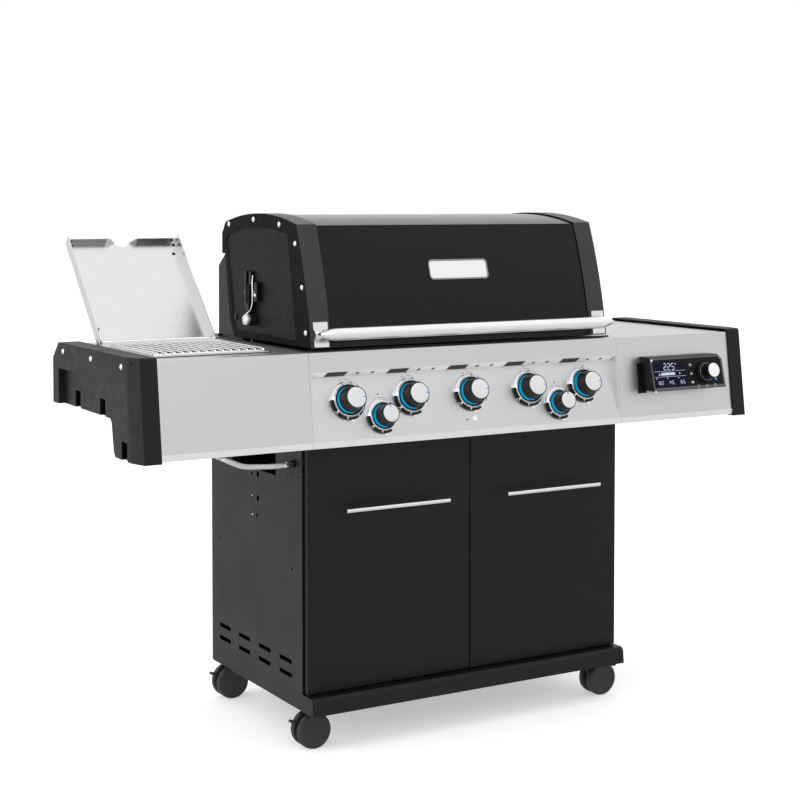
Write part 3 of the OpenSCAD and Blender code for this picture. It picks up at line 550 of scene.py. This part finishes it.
def knob(joint, body, kind, pointer_angle):
    """A tapered grip, a satin cap with a dark rim, and a blue pointer set into the cap."""
    at = frame_at(JOINTS[joint]["pos_m"], JOINTS[joint]["axis"])
    cap_r = CAP_R[kind]
    k = GRIP_R[kind] / GRIP_R["main"]
    grip = Shape(at)
    grip.lathe([(0, 6), (25.5 * k, 6), (26.8 * k, 6.8), (26.8 * k, 14.4), (28.2 * k, 15),
                (28.3 * k, 16.4), (26.9 * k, 24), (25.7 * k, 34), (25 * k, 40), (24.2 * k, 41.6),
                (cap_r + 1.2, 42.2), (cap_r + 0.9, 41.2), (0, 41.2)], 96)
    grip.lathe([(0, -13.9), (4, -13.9), (4, 6.2), (0, 6.2)], 32)
    grip.finish(f"{body}_grip", ["knob_black"], body, "knob", replaces=[body])
    cap = Shape(at)
    cap.lathe([(cap_r + 0.7, 41), (cap_r + 0.7, 42.4), (cap_r, 43), (cap_r * 0.7, 43.35),
               (cap_r * 0.35, 43.45), (0, 43.48)], 96)
    cap.finish(f"{body}_cap", ["satin"], body, "chrome")
    pointer = Shape(at @ Matrix.Rotation(math.radians(pointer_angle), 4, "Z"))
    bar = moved(rounded_rect(6.5, 2.2, 0.8, 3), cap_r - 3.0, 0)
    pointer.prism(bar, 42.7, 43.5)
    pointer.finish(f"{body}_pointer", ["pointer"], body, "knob")
    return at


def sector(r0, r1, start, end, steps=5):
    """Outline of a piece of a ring between two radii and two angles in degrees."""
    angles = [math.radians(start + (end - start) * i / steps) for i in range(steps + 1)]
    return ([(r0 * math.cos(a), r0 * math.sin(a)) for a in angles]
            + [(r1 * math.cos(a), r1 * math.sin(a)) for a in reversed(angles)])


def bezels(places):
    """Chrome rings round the knobs with light collars seated in them and a dark ring between the
    two; dark sectors on their lower part are painted dark reflection, and the gaps between the
    sectors leave chrome glints.
    """
    chrome, dark, light = Shape(), Shape(), Shape()
    for at, kind in places:
        r, g = BEZEL_R[kind], COLLAR_R[kind]
        turn = at.copy()
        move = turn.translation / MM
        turn.translation = (0, 0, 0)
        chrome.lathe([(7, 0), (r - 0.8, 0), (r - 0.8, 5.4), (r - 1.2, 6.2), (r - 4.4, 7.6),
                      (r - 6.0, 8.2), (r - 6.4, 8.8), (r - 6.8, 10.0), (r - 7.4, 10.6),
                      (r - 8.2, 10.6), (r - 8.8, 9.8), (r - 9.0, 5), (7, 5)], 96,
                     ring=True, move=move, turn=turn)
        tab = at @ Matrix.Rotation(math.radians(-84), 4, "Z")
        chrome.prism(moved(rounded_rect(8, 8, 1.5, 3), r + 1.0, 0), 0.1, 3.4, turn=tab)
        # Painted reflection: dark sectors on the lower outer wall and top slope stand for the dark
        # the chrome reflects there, with chrome glints left in their gaps
        for start, end in ((176, 212), (215, 219), (222, 252), (255, 258), (261, 296)):
            dark.prism(sector(r - 0.9, r, start, end), 0.3, 6.6, turn=at)
        for start, end in ((176, 214), (220, 254), (260, 296)):
            dark.prism(sector(r - 5.4, r - 0.8, start, end), 5.0, 8.4, turn=at)
        dark.lathe([(g + 1.7, 5.1), (r - 8.6, 5.1), (r - 8.6, 9.9), (r - 9.3, 9.9), (r - 9.6, 7.4),
                    (g + 1.7, 7.0)], 96, ring=True, move=move, turn=turn)
        light.lathe([(g, 5.1), (g + 1.5, 5.1), (g + 1.3, 10), (g + 1.0, 13.4), (g + 0.7, 14.1),
                     (g, 14.1)], 96, ring=True, move=move, turn=turn)
    chrome.finish("bezel_rings", ["chrome"], "cart", "chrome", replaces=["knob_bezels"])
    dark.finish("bezel_painted_reflection_and_ring", ["bezel_dark"], "cart", "chrome", bevel=0.3)
    light.finish("light_rings", ["cyan"], "cart", "screen")


def panel_marks(places):
    """Small printed dots, dashes and a flame sign above each bezel."""
    marks = Shape()
    for i, (at, kind) in enumerate(places):
        r = BEZEL_R[kind]
        for angle, size in ((110, 1.1), (103, 1.3)):
            spot = Matrix.Rotation(math.radians(angle), 4, "Z")
            marks.prism(moved(circle(size, 12), r + 4, 0), 0.02, 0.1, turn=at @ spot)
        for start, end in ((94, 84), (82, 74)):
            marks.prism(sector(r + 3.4, r + 4.4, start, end), 0.02, 0.1, turn=at)
        if i in FLAME_KNOBS:
            flame = [(0.4, 4.4), (1.7, 1.8), (1.9, 0), (1.0, -1.5), (-1.0, -1.5), (-1.9, 0),
                     (-1.3, 1.6), (-0.5, 2.6)]
            marks.prism(moved(flame, -3, r + 10.5), 0.02, 0.1, turn=at)
    marks.finish("panel_marks", ["ink"], "cart", "knob")


KNOB_PLACES = []
for i in range(1, 6):
    KNOB_PLACES.append((knob(f"valve_knob_{i}", f"main_knob_{i}", "main", 0), "main"))
for joint, body in (("valve_knob_6", "side_burner_knob"), ("valve_knob_7", "rear_burner_knob")):
    KNOB_PLACES.append((knob(joint, body, "small", 90), "small"))
bezels(KNOB_PLACES)
panel_marks(KNOB_PLACES)


# ---------------------------------------------------------------- lid

def lid_handle():
    """Chrome tube whose ends taper to blunt noses, on two posts that rise from the brackets."""
    low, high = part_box("lid_handle")
    centre = (Vector(low) + Vector(high)) / 2
    half = (high[0] - low[0]) / 2 / MM
    r = (high[2] - low[2]) / 2 / MM
    side = [(0, half), (2.6, half), (4.6, half - 1.2), (6.4, half - 5), (11.8, half - 21),
            (13.2, half - 27), (r, half - 34)]
    bar = Shape(frame_at(centre, (1, 0, 0), (0, -1, 0)))
    bar.lathe([(p, -z) for p, z in side] + [(p, z) for p, z in reversed(side)], 64)
    bar.finish("handle_bar", ["handle"], "lid", "chrome", replaces=["lid_handle"])
    posts, rings = Shape(), Shape()
    for side_x in (-1, 1):
        foot = Vector((side_x * HANDLE_POST_X * MM, centre.y, centre.z))
        at = frame_at(foot, (0, 1, 0))
        turn = at.copy()
        turn.translation = (0, 0, 0)
        posts.lathe([(0, -6), (5.0, -6), (7.6, 0), (8.6, 12), (8.6, 30), (0, 30)], 40,
                    move=foot / MM, turn=turn)
        rings.lathe([(8.4, 12), (10.4, 12), (10.8, 13.4), (10.4, 15), (8.4, 15)], 40, ring=True,
                    move=foot / MM, turn=turn)
    posts.finish("handle_posts", ["chrome"], "lid", "chrome")
    rings.finish("handle_post_rings", ["chrome_dark"], "lid", "chrome")


def nameplate():
    """Blank bright plate in a dark polished rim."""
    centre, normal = front_face("nameplate")
    at = frame_at(centre, normal)
    low, high = extent("nameplate", at)
    w, h = high.x - low.x, high.y - low.y
    rim = Shape(at)
    rim.band(rounded_rect(w, h, 10, 8), rounded_rect(w - 7, h - 7, 7, 8), -2.6, 0.0)
    rim.finish("nameplate_rim", ["chrome_dark"], "lid", "chrome", bevel=0.5, replaces=["nameplate"])
    plate = Shape(at)
    plate.prism(rounded_rect(w - 7.4, h - 7.4, 6.8, 8), -2.4, -0.5)
    plate.finish("nameplate_field", ["bright_steel"], "lid", "chrome", bevel=0.4)


def spit_bracket():
    """Slotted plate with a latch, a spring block and a thumb nut on the lid's left side."""
    low, high = (Vector(p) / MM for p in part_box("spit_bracket"))
    wall = high.x
    across = Matrix(((0, 0, 1, 0), (1, 0, 0, 0), (0, 1, 0, 0), (0, 0, 0, 1)))
    left = Matrix.Rotation(math.radians(-90), 4, "Y")
    y0, y1 = low.y + 13, high.y
    z0, z1 = low.z + 35, high.z
    outline = [(y0 + 3, z0), (y1 - 6, z0), (y1, z0 + 8), (y1, z1 - 3), (y1 - 3, z1), (y1 - 11, z1),
               (y1 - 11, z0 + 20), (y1 - 14, z0 + 15), (y1 - 20, z0 + 15), (y1 - 24, z0 + 20),
               (y1 - 25, z1), (y0 + 3, z1), (y0, z1 - 5), (y0, z0 + 4)]
    plate = Shape()
    plate.prism(outline, wall - 7, wall, turn=across)
    blocks = ((y0 - 9, 12, z0 + 6, z1 - 22, 9), (y0 + 1, 5, z0 - 12, z1 - 30, 13),
              (y0 - 36, 15, z0 + 22, z1 - 24, 10))
    for y, w, bottom, top, deep in blocks:
        plate.prism([(y, bottom), (y + w, bottom), (y + w, top - 3), (y + w - 3, top), (y, top)],
                    wall - deep, wall, turn=across)
    plate.finish("spit_plate", ["bezel_dark"], "lid", "cast", bevel=0.9, replaces=["spit_bracket"])
    latch_y = y0 - 16
    latch = Shape()
    latch.tube([(wall - 5, latch_y + 10, z1 - 10), (wall - 10, latch_y + 3, z1 - 24),
                (wall - 11, latch_y, z1 - 46), (wall - 11, latch_y, z1 - 72),
                (wall - 13, latch_y + 6, z1 - 88), (wall - 17, latch_y + 18, z1 - 97),
                (wall - 18, latch_y + 26, z1 - 100)], 1.5, 10)
    latch.finish("spit_latch", ["bright_steel"], "lid", "chrome")
    screws = Shape()
    dome = [(0, 0), (4.4, 0), (4.4, 0.8), (3.2, 2.2), (1.6, 2.9), (0, 3.1)]
    for y, z, out in ((y1 + 8, z0 + 40, 0), (y0 - 13, z0 + 42, 7), (y0 - 28, z0 + 36, 10)):
        screws.lathe(dome, 24, move=(wall - out, y, z), turn=left)
    screws.finish("spit_screws", ["bright_steel"], "lid", "chrome")
    nut_y, nut_z = low.y + 14, low.z + 14
    collar, nut = Shape(), Shape()
    knurl = [(13.9 if k % 2 else 13.2) for k in range(48)]
    ring = [(r * math.cos(2 * math.pi * k / 48), r * math.sin(2 * math.pi * k / 48))
            for k, r in enumerate(knurl)]
    collar.prism(moved(ring, nut_y, nut_z), wall - 13.5, wall, turn=across)
    collar.finish("spit_nut_collar", ["knob_black"], "lid", "knob", bevel=0.3)
    nut.lathe([(0, 13), (12.4, 13), (13.2, 14), (13.2, 20), (11.4, 23.4), (7, 24.7), (0, 25)], 48,
              move=(wall, nut_y, nut_z), turn=left)
    nut.finish("spit_nut", ["bright_steel"], "lid", "chrome")


def lid_hinge_covers():
    """Dark domed covers over the ends of the lid's hinge pins."""
    pivot = Vector(JOINTS["lid_hinge"]["pos_m"]) / MM
    covers = Shape()
    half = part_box("lid_end_caps")[1][0] / MM - 3
    for side in (-1, 1):
        turn = Matrix.Rotation(math.radians(90 * side), 4, "Y")
        covers.lathe([(0, 0), (8.2, 0), (8.2, 1.4), (6.4, 2.8), (3, 3.4), (0, 3.5)], 32,
                     move=(side * half, pivot.y, pivot.z), turn=turn)
    covers.finish("lid_hinge_covers", ["bezel_dark"], "lid", "knob")


# ---------------------------------------------------------------- side burner and its gas line

def burner_grate():
    """Round rods with turned-down ends on two carriers, inside a frame rod."""
    low, high = (Vector(p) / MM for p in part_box("side_burner_grate"))
    top = high.z - 2.2
    rods, frame_rods = Shape(), Shape()
    for k in range(14):
        x = low.x + 7 + k * (high.x - low.x - 14) / 13
        y0, y1 = low.y + 3, high.y - 3
        rods.tube([(x, y0, low.z + 2.4), (x, y0 + 0.6, top - 1.2), (x, y0 + 3, top),
                   (x, y1 - 3, top), (x, y1 - 0.6, top - 1.2), (x, y1, low.z + 2.4)], 2.5, 10)
    for k in range(5):
        y = low.y + 22 + k * (high.y - low.y - 44) / 4
        frame_rods.tube([(low.x + 1, y, top - 4.0), (high.x - 1, y, top - 4.0)], 2.1, 10)
    ring = rounded_rect(high.x - low.x - 6, high.y - low.y - 6, 12, 5)
    cx, cy = (low.x + high.x) / 2, (low.y + high.y) / 2
    loop = [(x + cx, y + cy, top - 3.4) for x, y in ring]
    frame_rods.tube(loop + loop[:1], 2.4, 10)
    rods.finish("grate_rods", ["rod"], "cart", "chrome", replaces=["side_burner_grate"])
    frame_rods.finish("grate_frame", ["rod"], "cart", "chrome")


def burner_surround():
    """Pressed steel rim laid on the bowl's flange."""
    low, high = (Vector(p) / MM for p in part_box("side_burner_bowl"))
    cx, cy = (low.x + high.x) / 2, (low.y + high.y) / 2
    w, h = high.x - low.x, high.y - low.y
    rim = Shape()
    outer = moved(rounded_rect(w, h, 8, 6), cx, cy)
    inner = moved(rounded_rect(w - 16, h - 18, 14, 6), cx, cy)
    rim.band(outer, inner, high.z + 0.05, high.z + 1.6)
    rim.finish("burner_surround", ["steel_x"], "cart", "brushed", bevel=0.5)


def burner_lid_marks():
    """Painted shade: dark discs for the small holes in the side burner lid's corners, and dark
    strips for the shade inside its front flange.
    """
    hinge = JOINTS["burner_lid_hinge"]
    low, high = (Vector(p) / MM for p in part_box("burner_lid"))
    pivot = Vector(hinge["pos_m"]) / MM
    middle = (low.x + high.x) / 2
    along = Vector((0, math.cos(BURNER_LID_OPEN), math.sin(BURNER_LID_OPEN)))
    inside = Vector((0, -along.z, along.y))
    at = frame_at((middle * MM, pivot.y * MM, pivot.z * MM), inside)
    at_x = 1 if at.col[0].x > 0 else -1
    half = (high.x - low.x) / 2
    holes = Shape(at)
    # Dark discs: painted shade seen through the corner holes
    for x, y in ((half - 16, 275), (12 - half, 304), (12 - half, 54), (half - 9, 303)):
        holes.lathe([(0, 0), (4.4, 0), (4.4, 0.2), (0, 0.2)], 24,
                    move=(at_x * x, y, BURNER_LID_FACE))
    holes.finish("burner_lid_hole_shade", ["bezel_dark"], "burner_lid", "steel_black")
    front = frame_at(Vector((0, BURNER_LID_FLANGE, 0)) * MM, (0, -1, 0))
    strips = Shape(at)
    for start, end in ((10 - half, -40), (36, half - 12)):
        outline = rounded_rect(end - start, 13.4, 2, 3)
        strips.prism(moved(outline, at_x * (start + end) / 2, -10.6), 0.05, 0.5, turn=front)
    strips.finish("burner_lid_shade", ["chrome_dark"], "burner_lid", "chrome")


def gas_hose():
    """Corrugated steel hose with its nuts, and a black elbow into the cabinet."""
    lift = Vector((0, CAD_ORIGIN_Y, 0))
    route = smooth_route([Vector(p) - lift for p in HOSE_ROUTE], 10)
    radii = [6.5 if i % 2 else 4.8 for i in range(len(route))]
    hose = Shape()
    hose.tube(route, 6, 16, radii=radii)
    hose.finish("hose_corrugated", ["bright_steel"], "cart", "hose", replaces=["gas_hose"],
                sharp=75)
    start, end = Vector(HOSE_ROUTE[0]) - lift, Vector(HOSE_ROUTE[-1]) - lift
    nuts = Shape()
    six = circle(9.5, 6)
    nuts.prism(moved(six, start.x, start.y), start.z - 8, start.z + 5)
    forward = frame_at((0, 0, 0), (0, 1, 0))
    nuts.lathe([(0, 0), (6.4, 0), (7, 1.2), (7, 8), (6.2, 9), (0, 9)], 6,
               move=(end.x, end.y - 1, end.z), turn=forward)
    nuts.finish("hose_nuts", ["steel_dull"], "cart", "burner_steel", bevel=0.5)
    elbow = Shape()
    bend = ((0, 2, 0), (0, -3, 1), (1, -7, 3), (5, -8, 3), (18, -8, 3))
    elbow.tube([end + Vector(p) for p in bend], 5, 20)
    elbow.finish("hose_elbow", ["knob_black"], "cart", "knob")


# ---------------------------------------------------------------- temperature controller

SEGMENTS = {"0": "abcdef", "1": "bc", "2": "abged", "3": "abgcd", "4": "fgbc", "5": "afgcd",
            "6": "afgedc", "7": "abc", "8": "abcdefg", "9": "abcdfg"}


def digit(shape, value, x, y, h, z):
    """A seven-segment numeral h high, its middle at x, y."""
    w, t = h * 0.5, h * 0.13
    spots = {"a": (0, h / 2), "g": (0, 0), "d": (0, -h / 2), "f": (-w / 2, h / 4),
             "b": (w / 2, h / 4), "e": (-w / 2, -h / 4), "c": (w / 2, -h / 4)}
    for name in SEGMENTS[value]:
        sx, sy = spots[name]
        size = (w - t, t) if name in "agd" else (t, h / 2 - t)
        shape.prism(moved(rounded_rect(*size, t * 0.3, 2), x + sx, y + sy), z, z + 0.12)


def number(shape, text, x, y, h, z):
    """A row of numerals h high with its middle at x, y."""
    for i, value in enumerate(text):
        digit(shape, value, x + (i - (len(text) - 1) / 2) * h * 0.78, y, h, z)


def controller():
    """Rim, screen with generic figures, buttons, dial, lamp and sockets of the controller."""
    at = frame_at(JOINTS["temp_dial"]["pos_m"], JOINTS["temp_dial"]["axis"])
    low, high = extent("controller_screen", at)
    left, right, bottom, top = low.x - 5.5, high.x + 116.5, low.y - 9.8, high.y + 13.2
    outer = [(left, bottom), (right - 4, bottom), (right, bottom + 4), (right, top - 12),
             (right - 12, top), (left, top)]
    inner = [(left + 3.4, bottom + 7), (right - 8, bottom + 7), (right - 5, bottom + 9.5),
             (right - 5, top - 13), (right - 14, top - 5), (left + 3.4, top - 5)]
    rim = Shape(at)
    rim.band(outer, inner, -2.0, 1.3)
    rim.finish("controller_rim", ["frame_grey"], "cart", "knob", bevel=0.5)

    cx, cy = (low.x + high.x) / 2, (low.y + high.y) / 2
    glass = Shape(at)
    glass.prism(moved(rounded_rect(high.x - low.x, high.y - low.y, 1.2, 3), cx, cy), -1.3, 0.2)
    glass.finish("controller_glass", ["screen"], "cart", "screen", replaces=["controller_screen"])

    z = 0.22
    shown = Shape(at)
    number(shown, "225", cx - 1, cy + 19, 15, z)
    shown.band(moved(circle(1.9, 14), cx + 20, cy + 25), moved(circle(1.1, 14), cx + 20, cy + 25),
               z, z + 0.1)
    for y in (cy + 8.4, cy - 4.6):
        shown.prism(moved(rounded_rect(high.x - low.x - 4, 0.7, 0.2, 1), cx, y), z, z + 0.1)
    shown.prism(moved(rounded_rect(42, 6.4, 0.8, 3), cx - 6, cy + 1.8), z, z + 0.12)
    shown.prism([(cx - 35, cy - 1.0), (cx - 29.5, cy - 1.0), (cx - 32.2, cy + 4.6)], z, z + 0.12)
    shown.prism(moved(circle(1.9, 14), cx + 30, cy + 1.8), z, z + 0.12)
    for x, value in ((-33, "160"), (0, "145"), (33, "165")):
        number(shown, value, cx + x, cy - 19, 8.4, z)
        shown.prism([(cx + x - 11, cy - 9.6), (cx + x - 7, cy - 9.6), (cx + x - 9, cy - 6.4)],
                    z, z + 0.1)
    shown.finish("controller_figures", ["digits"], "cart", "screen")

    for i in (1, 2, 3):
        name = f"panel_button_{i}"
        b_low, b_high = extent(name, at)
        bx, by = (b_low.x + b_high.x) / 2, (b_low.y + b_high.y) / 2
        r = 4.7
        button = Shape(at)
        button.lathe([(0, -8), (r, -8), (r, 1.0), (r - 0.5, 1.7), (r - 1.6, 2.0), (0, 2.1)], 40,
                     move=(bx, by, 0))
        button.finish(f"{name}_cap", ["frame_grey"], name, "knob", replaces=[name])
        sign = Shape(at)
        if i == 3:
            sign.prism(moved(circle(1.9, 14), bx, by), 2.05, 2.2)
            sign.prism(moved(rounded_rect(10, 0.9, 0.3, 2), bx, by), 2.05, 2.15)
        elif i == 2:
            sign.prism([(bx - 2.8, by - 1.2), (bx + 2.8, by - 1.2), (bx, by + 2.2)], 2.05, 2.2)
        else:
            sign.band(moved(circle(2.4, 16), bx, by), moved(circle(1.5, 16), bx, by), 2.05, 2.2)
        sign.finish(f"{name}_sign", ["bright"], name, "screen")

    spot, turn = at.translation / MM, at.to_3x3().to_4x4()
    dial = Shape()
    dial.lathe([(0, -10), (3, -10), (3, 0.8), (25.4, 0.8), (26, 1.6), (26, 6.2), (25, 7.6),
                (20.6, 8.2), (20.0, 9.0), (19.4, 12), (18.2, 13), (17.6, 32), (17.0, 33.6),
                (16.4, 34), (0, 34)], 72, move=spot, turn=turn)
    dial.finish("dial_grip", ["housing"], "temperature_dial", "knob", replaces=["temperature_dial"])
    cap = Shape()
    cap.lathe([(16.6, 33.9), (16.6, 34.5), (16.0, 34.9), (0, 34.9)], 72, move=spot, turn=turn)
    cap.finish("dial_cap", ["bright"], "temperature_dial", "chrome")
    ring = Shape(at)
    ring.lathe([(20.4, 8.3), (21.4, 8.2), (21.4, 8.7), (20.9, 9.0), (20.4, 8.9)], 72, ring=True)
    ring.finish("dial_ring", ["chrome_dark"], "temperature_dial", "chrome")
    lamp = Shape(at)
    lamp.lathe([(0, -0.5), (3.0, -0.5), (3.0, 0.8), (1.8, 1.7), (0, 2.0)], 28, move=(31, -18, 0))
    lamp.finish("controller_lamp", ["cyan"], "cart", "screen")
    sockets = Shape(at)
    for x in (-25, 0, 26):
        sockets.lathe([(1.9, -2), (4.4, -2), (4.4, 1.2), (3.4, 1.9), (1.9, 1.6)], 28, ring=True,
                      move=(x, -33, 0))
    sockets.finish("probe_sockets", ["chrome_dark"], "cart", "chrome")

    screws = Shape(at)
    for y in (bottom - 2, top - 6):
        screws.lathe([(0, 0), (3.4, 0), (3.4, 0.8), (2.2, 2.2), (0, 2.8)], 24,
                     move=(left + 4, y, 0.4))
    screws.finish("controller_screws", ["chrome"], "cart", "chrome")


# ---------------------------------------------------------------- casters and small trim

def caster_wheels(corner):
    """Two plain discs with rounded treads, shallow dished faces and a hub cap."""
    name = f"caster_wheels_{corner}"
    at = frame_at(JOINTS[f"wheel_{corner}"]["pos_m"], (0, 1, 0))
    r = WHEEL_R
    half = [(4.1, 6.2), (r - 4, 6.2), (r - 1, 7.4), (r, 9.6), (r, 17.5), (r - 0.8, 20.4),
            (r - 2.6, 22.4), (r - 5.4, 23.4), (r - 8.4, 23.5), (r - 9.4, 22.7), (12, 22.3),
            (10.6, 23.3), (4.1, 23.4)]
    wheels = Shape(at)
    for flip in (1, -1):
        wheels.lathe([(p, z * flip) for p, z in half], 72, ring=True)
        wheels.lathe([(0, 22.5 * flip), (10.4, 22.5 * flip), (9.6, 23.45 * flip),
                      (0, 23.45 * flip)], 40)
    wheels.finish(f"{name}_pair", ["rubber"], name, "tyre", replaces=[name])


def end_cap_hooks_and_shade_plates():
    """Hooks that hang inside the notches of the end caps, and dark plates behind them: painted
    shade that closes the notches from behind.
    """
    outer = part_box("shelf_end_caps")[1][0] / MM
    hooks = Shape()
    for side in (-1, 1):
        for y, z, deep in CAP_NOTCHES:
            move = Matrix.Translation(Vector((side * (outer - deep), y - CAD_ORIGIN_Y, z)) * MM)
            # Dark plate filling the notch: painted shade where the notch's hollow is
            hooks.prism(moved(rounded_rect(1.6, 84, 0.5, 2), 0, 20), -0.5, 42, turn=move)
            hooks.prism(rounded_rect(8, 12, 1.5, 3), -1.5, 24, turn=move)
    hooks.finish("end_cap_hooks_and_shade_plates", ["bezel_dark"], "cart", "moulded", bevel=0.6)


def door_fold():
    """Narrow fold band down the inner edge of the right door."""
    low, high = (Vector(p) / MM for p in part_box("door_right"))
    fold = Shape()
    fold.prism([(low.x, low.y - 0.5), (low.x + 7, low.y - 0.5), (low.x + 7.8, low.y + 0.2),
                (low.x, low.y + 0.2)], low.z + 1, high.z - 1)
    fold.finish("door_fold", ["coat_black"], "door_right", "steel_black", bevel=0.2)


def panel_trim():
    """Painted light on the step above the knobs: bright strips as its highlight between its slots,
    dark strips as the shade inside the slots, and a lighter lower edge band as the sheen of its
    fold.
    """
    low, high = (Vector(p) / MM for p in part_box("control_panel"))
    step = Shape()
    edges = [low.x + 5.5]
    for k in range(-2, 3):
        middle = k * LOUVER_PITCH + STEP_SLOT_START
        for x, half in STEP_SLOTS:
            edges += [middle + x - half, middle + x + half]
    edges.append(high.x - 5.5)
    down = STEP_BOTTOM - STEP_TOP
    lift = Vector((0, CAD_ORIGIN_Y, 0))
    at = frame_at(((STEP_TOP + STEP_BOTTOM) / 2 - lift) * MM, down.cross(Vector((1, 0, 0))))
    span = down.length
    # Bright strips: painted highlight on the steel step between its slots
    for a, b in zip(edges[0::2], edges[1::2]):
        step.prism(moved(rounded_rect(b - a, span, 0.8, 2), (a + b) / 2, 0), 0.15, 0.5, turn=at)
    slots = Shape()
    # Dark strips: painted shade inside the slots
    for a, b in zip(edges[1:-1:2], edges[2::2]):
        middle = (a + b) / 2
        slots.prism(moved(rounded_rect(b - a, span - 2, 1.6, 3), middle, 0), 0.04, 0.2, turn=at)
        if b - a < SMALL_SLOT:
            for shift in (-0.36, 0.36):
                part = rounded_rect(b - a + 2, 0.28 * span, 0.8, 2)
                step.prism(moved(part, middle, shift * span), 0.15, 0.5, turn=at)
    step.finish("panel_step_painted_highlight", ["bright"], "cart", "brushed")
    slots.finish("panel_step_slot_shade", ["slot_painted_shade"], "cart", "brushed")
    # Lower edge band in lighter steel: painted sheen of the fold along the panel and shelves
    band = Shape()
    front, bend = low.y, 14
    for x0, x1 in ((low.x - SHELF_BAND_END, low.x - 0.6), (low.x, high.x),
                   (high.x + 0.6, high.x + SHELF_BAND_END)):
        band.prism([(x0, front - 0.15), (x1, front - 0.15), (x1, front + 0.5), (x0, front + 0.5)],
                   low.z + 0.3, low.z + bend)
    band.finish("panel_lower_band", ["steel_painted_sheen"], "cart", "brushed", bevel=0.3)


def panel_lens():
    """Small clear lens under the middle knob."""
    at = KNOB_PLACES[2][0]
    lens = Shape(at)
    lens.lathe([(0, 0.1), (7, 0.1), (7, 1.0), (5.4, 2.2), (2.6, 2.8), (0, 3.0)], 36,
               move=(1, -58, 0))
    lens.finish("panel_lens", ["bright"], "cart", "screen")
    clip = Shape(at)
    clip.prism(moved(rounded_rect(5, 2.4, 0.8, 3), -19, -61), 0.05, 1.4)
    clip.finish("panel_clip", ["ink"], "cart", "knob")


lid_handle()
nameplate()
spit_bracket()
lid_hinge_covers()
burner_grate()
burner_surround()
burner_lid_marks()
gas_hose()
controller()
for corner in CORNERS:
    caster_wheels(corner)
end_cap_hooks_and_shade_plates()
door_fold()
panel_trim()
panel_lens()


# ---------------------------------------------------------------- stage

def camera():
    data = bpy.data.cameras.new("camera")
    data.sensor_width = 36.0
    data.lens = 73.88
    data.shift_y = -0.16
    obj = bpy.data.objects.new("camera", data)
    bpy.context.scene.collection.objects.link(obj)
    obj.location = (-1.9985, -3.3453, 1.1768)
    yaw, pitch = math.radians(30.398), math.radians(2.398)
    aim = Vector((math.sin(yaw) * math.cos(pitch), math.cos(yaw) * math.cos(pitch),
                  -math.sin(pitch)))
    obj.rotation_euler = aim.to_track_quat("-Z", "Y").to_euler()
    bpy.context.scene.camera = obj


def area_light(name, spot, target, size, power, color=(1, 1, 1)):
    data = bpy.data.lights.new(name, "AREA")
    data.shape = "RECTANGLE"
    data.size, data.size_y = size
    data.energy = power
    data.color = color
    obj = bpy.data.objects.new(name, data)
    bpy.context.scene.collection.objects.link(obj)
    obj.location = spot
    obj.rotation_euler = (Vector(target) - Vector(spot)).to_track_quat("-Z", "Y").to_euler()


def floor():
    """A wide white floor. It doesn't show in glossy surfaces, which reflect the studio instead."""
    shape = Shape()
    shape.prism(rounded_rect(60000, 60000, 2000), -20, 0)
    mesh = bpy.data.meshes.new("floor")
    shape.bm.to_mesh(mesh)
    shape.bm.free()
    p = Paint("floor", (0.86, 0.86, 0.86), 0.9, Specular_IOR_Level=0.1, Emission_Strength=0.42)
    p.bsdf.inputs["Emission Color"].default_value = (1, 1, 1, 1)
    p.vary_color(p.noise(3.0), 0.01)
    mesh.materials.append(p.mat)
    obj = bpy.data.objects.new("floor", mesh)
    bpy.context.scene.collection.objects.link(obj)
    obj.visible_glossy = False


def world():
    """Soft studio: bright all around and brightest above, plain white behind the object."""
    w = bpy.data.worlds.new("studio")
    bpy.context.scene.world = w
    w.use_nodes = True
    tree = w.node_tree
    back = tree.nodes["Background"]
    coords = tree.nodes.new("ShaderNodeTexCoord")
    split = tree.nodes.new("ShaderNodeSeparateXYZ")
    spread = tree.nodes.new("ShaderNodeMapRange")
    ramp = tree.nodes.new("ShaderNodeValToRGB")
    path = tree.nodes.new("ShaderNodeLightPath")
    mix = tree.nodes.new("ShaderNodeMix")
    mix.data_type = "RGBA"
    spread.inputs["From Min"].default_value = -1.0
    stops = ((0.0, 0.62), (0.2, 0.68), (0.36, 0.76), (0.52, 0.80), (0.62, 0.90), (0.8, 1.0))
    for i, (at, level) in enumerate(stops):
        stop = ramp.color_ramp.elements[i] if i < 2 else ramp.color_ramp.elements.new(at)
        stop.position = at
        stop.color = (level, level, level, 1)
    mix.inputs["B"].default_value = (1, 1, 1, 1)
    for a, b in ((coords.outputs["Generated"], split.inputs[0]),
                 (split.outputs["Z"], spread.inputs["Value"]),
                 (spread.outputs["Result"], ramp.inputs["Fac"]),
                 (ramp.outputs["Color"], mix.inputs["A"]),
                 (path.outputs["Is Camera Ray"], mix.inputs["Factor"]),
                 (mix.outputs["Result"], back.inputs["Color"])):
        tree.links.new(a, b)


camera()
floor()
world()
area_light("left", (-3.6, 0.4, 1.7), (-0.6, 0.1, 0.7), (2.2, 2.4), 30)
area_light("front", (-1.6, -4.0, 2.8), (0, 0, 0.6), (3.4, 1.2), 14)
view = bpy.context.scene.view_settings
view.view_transform = "Standard"
view.look = "None"
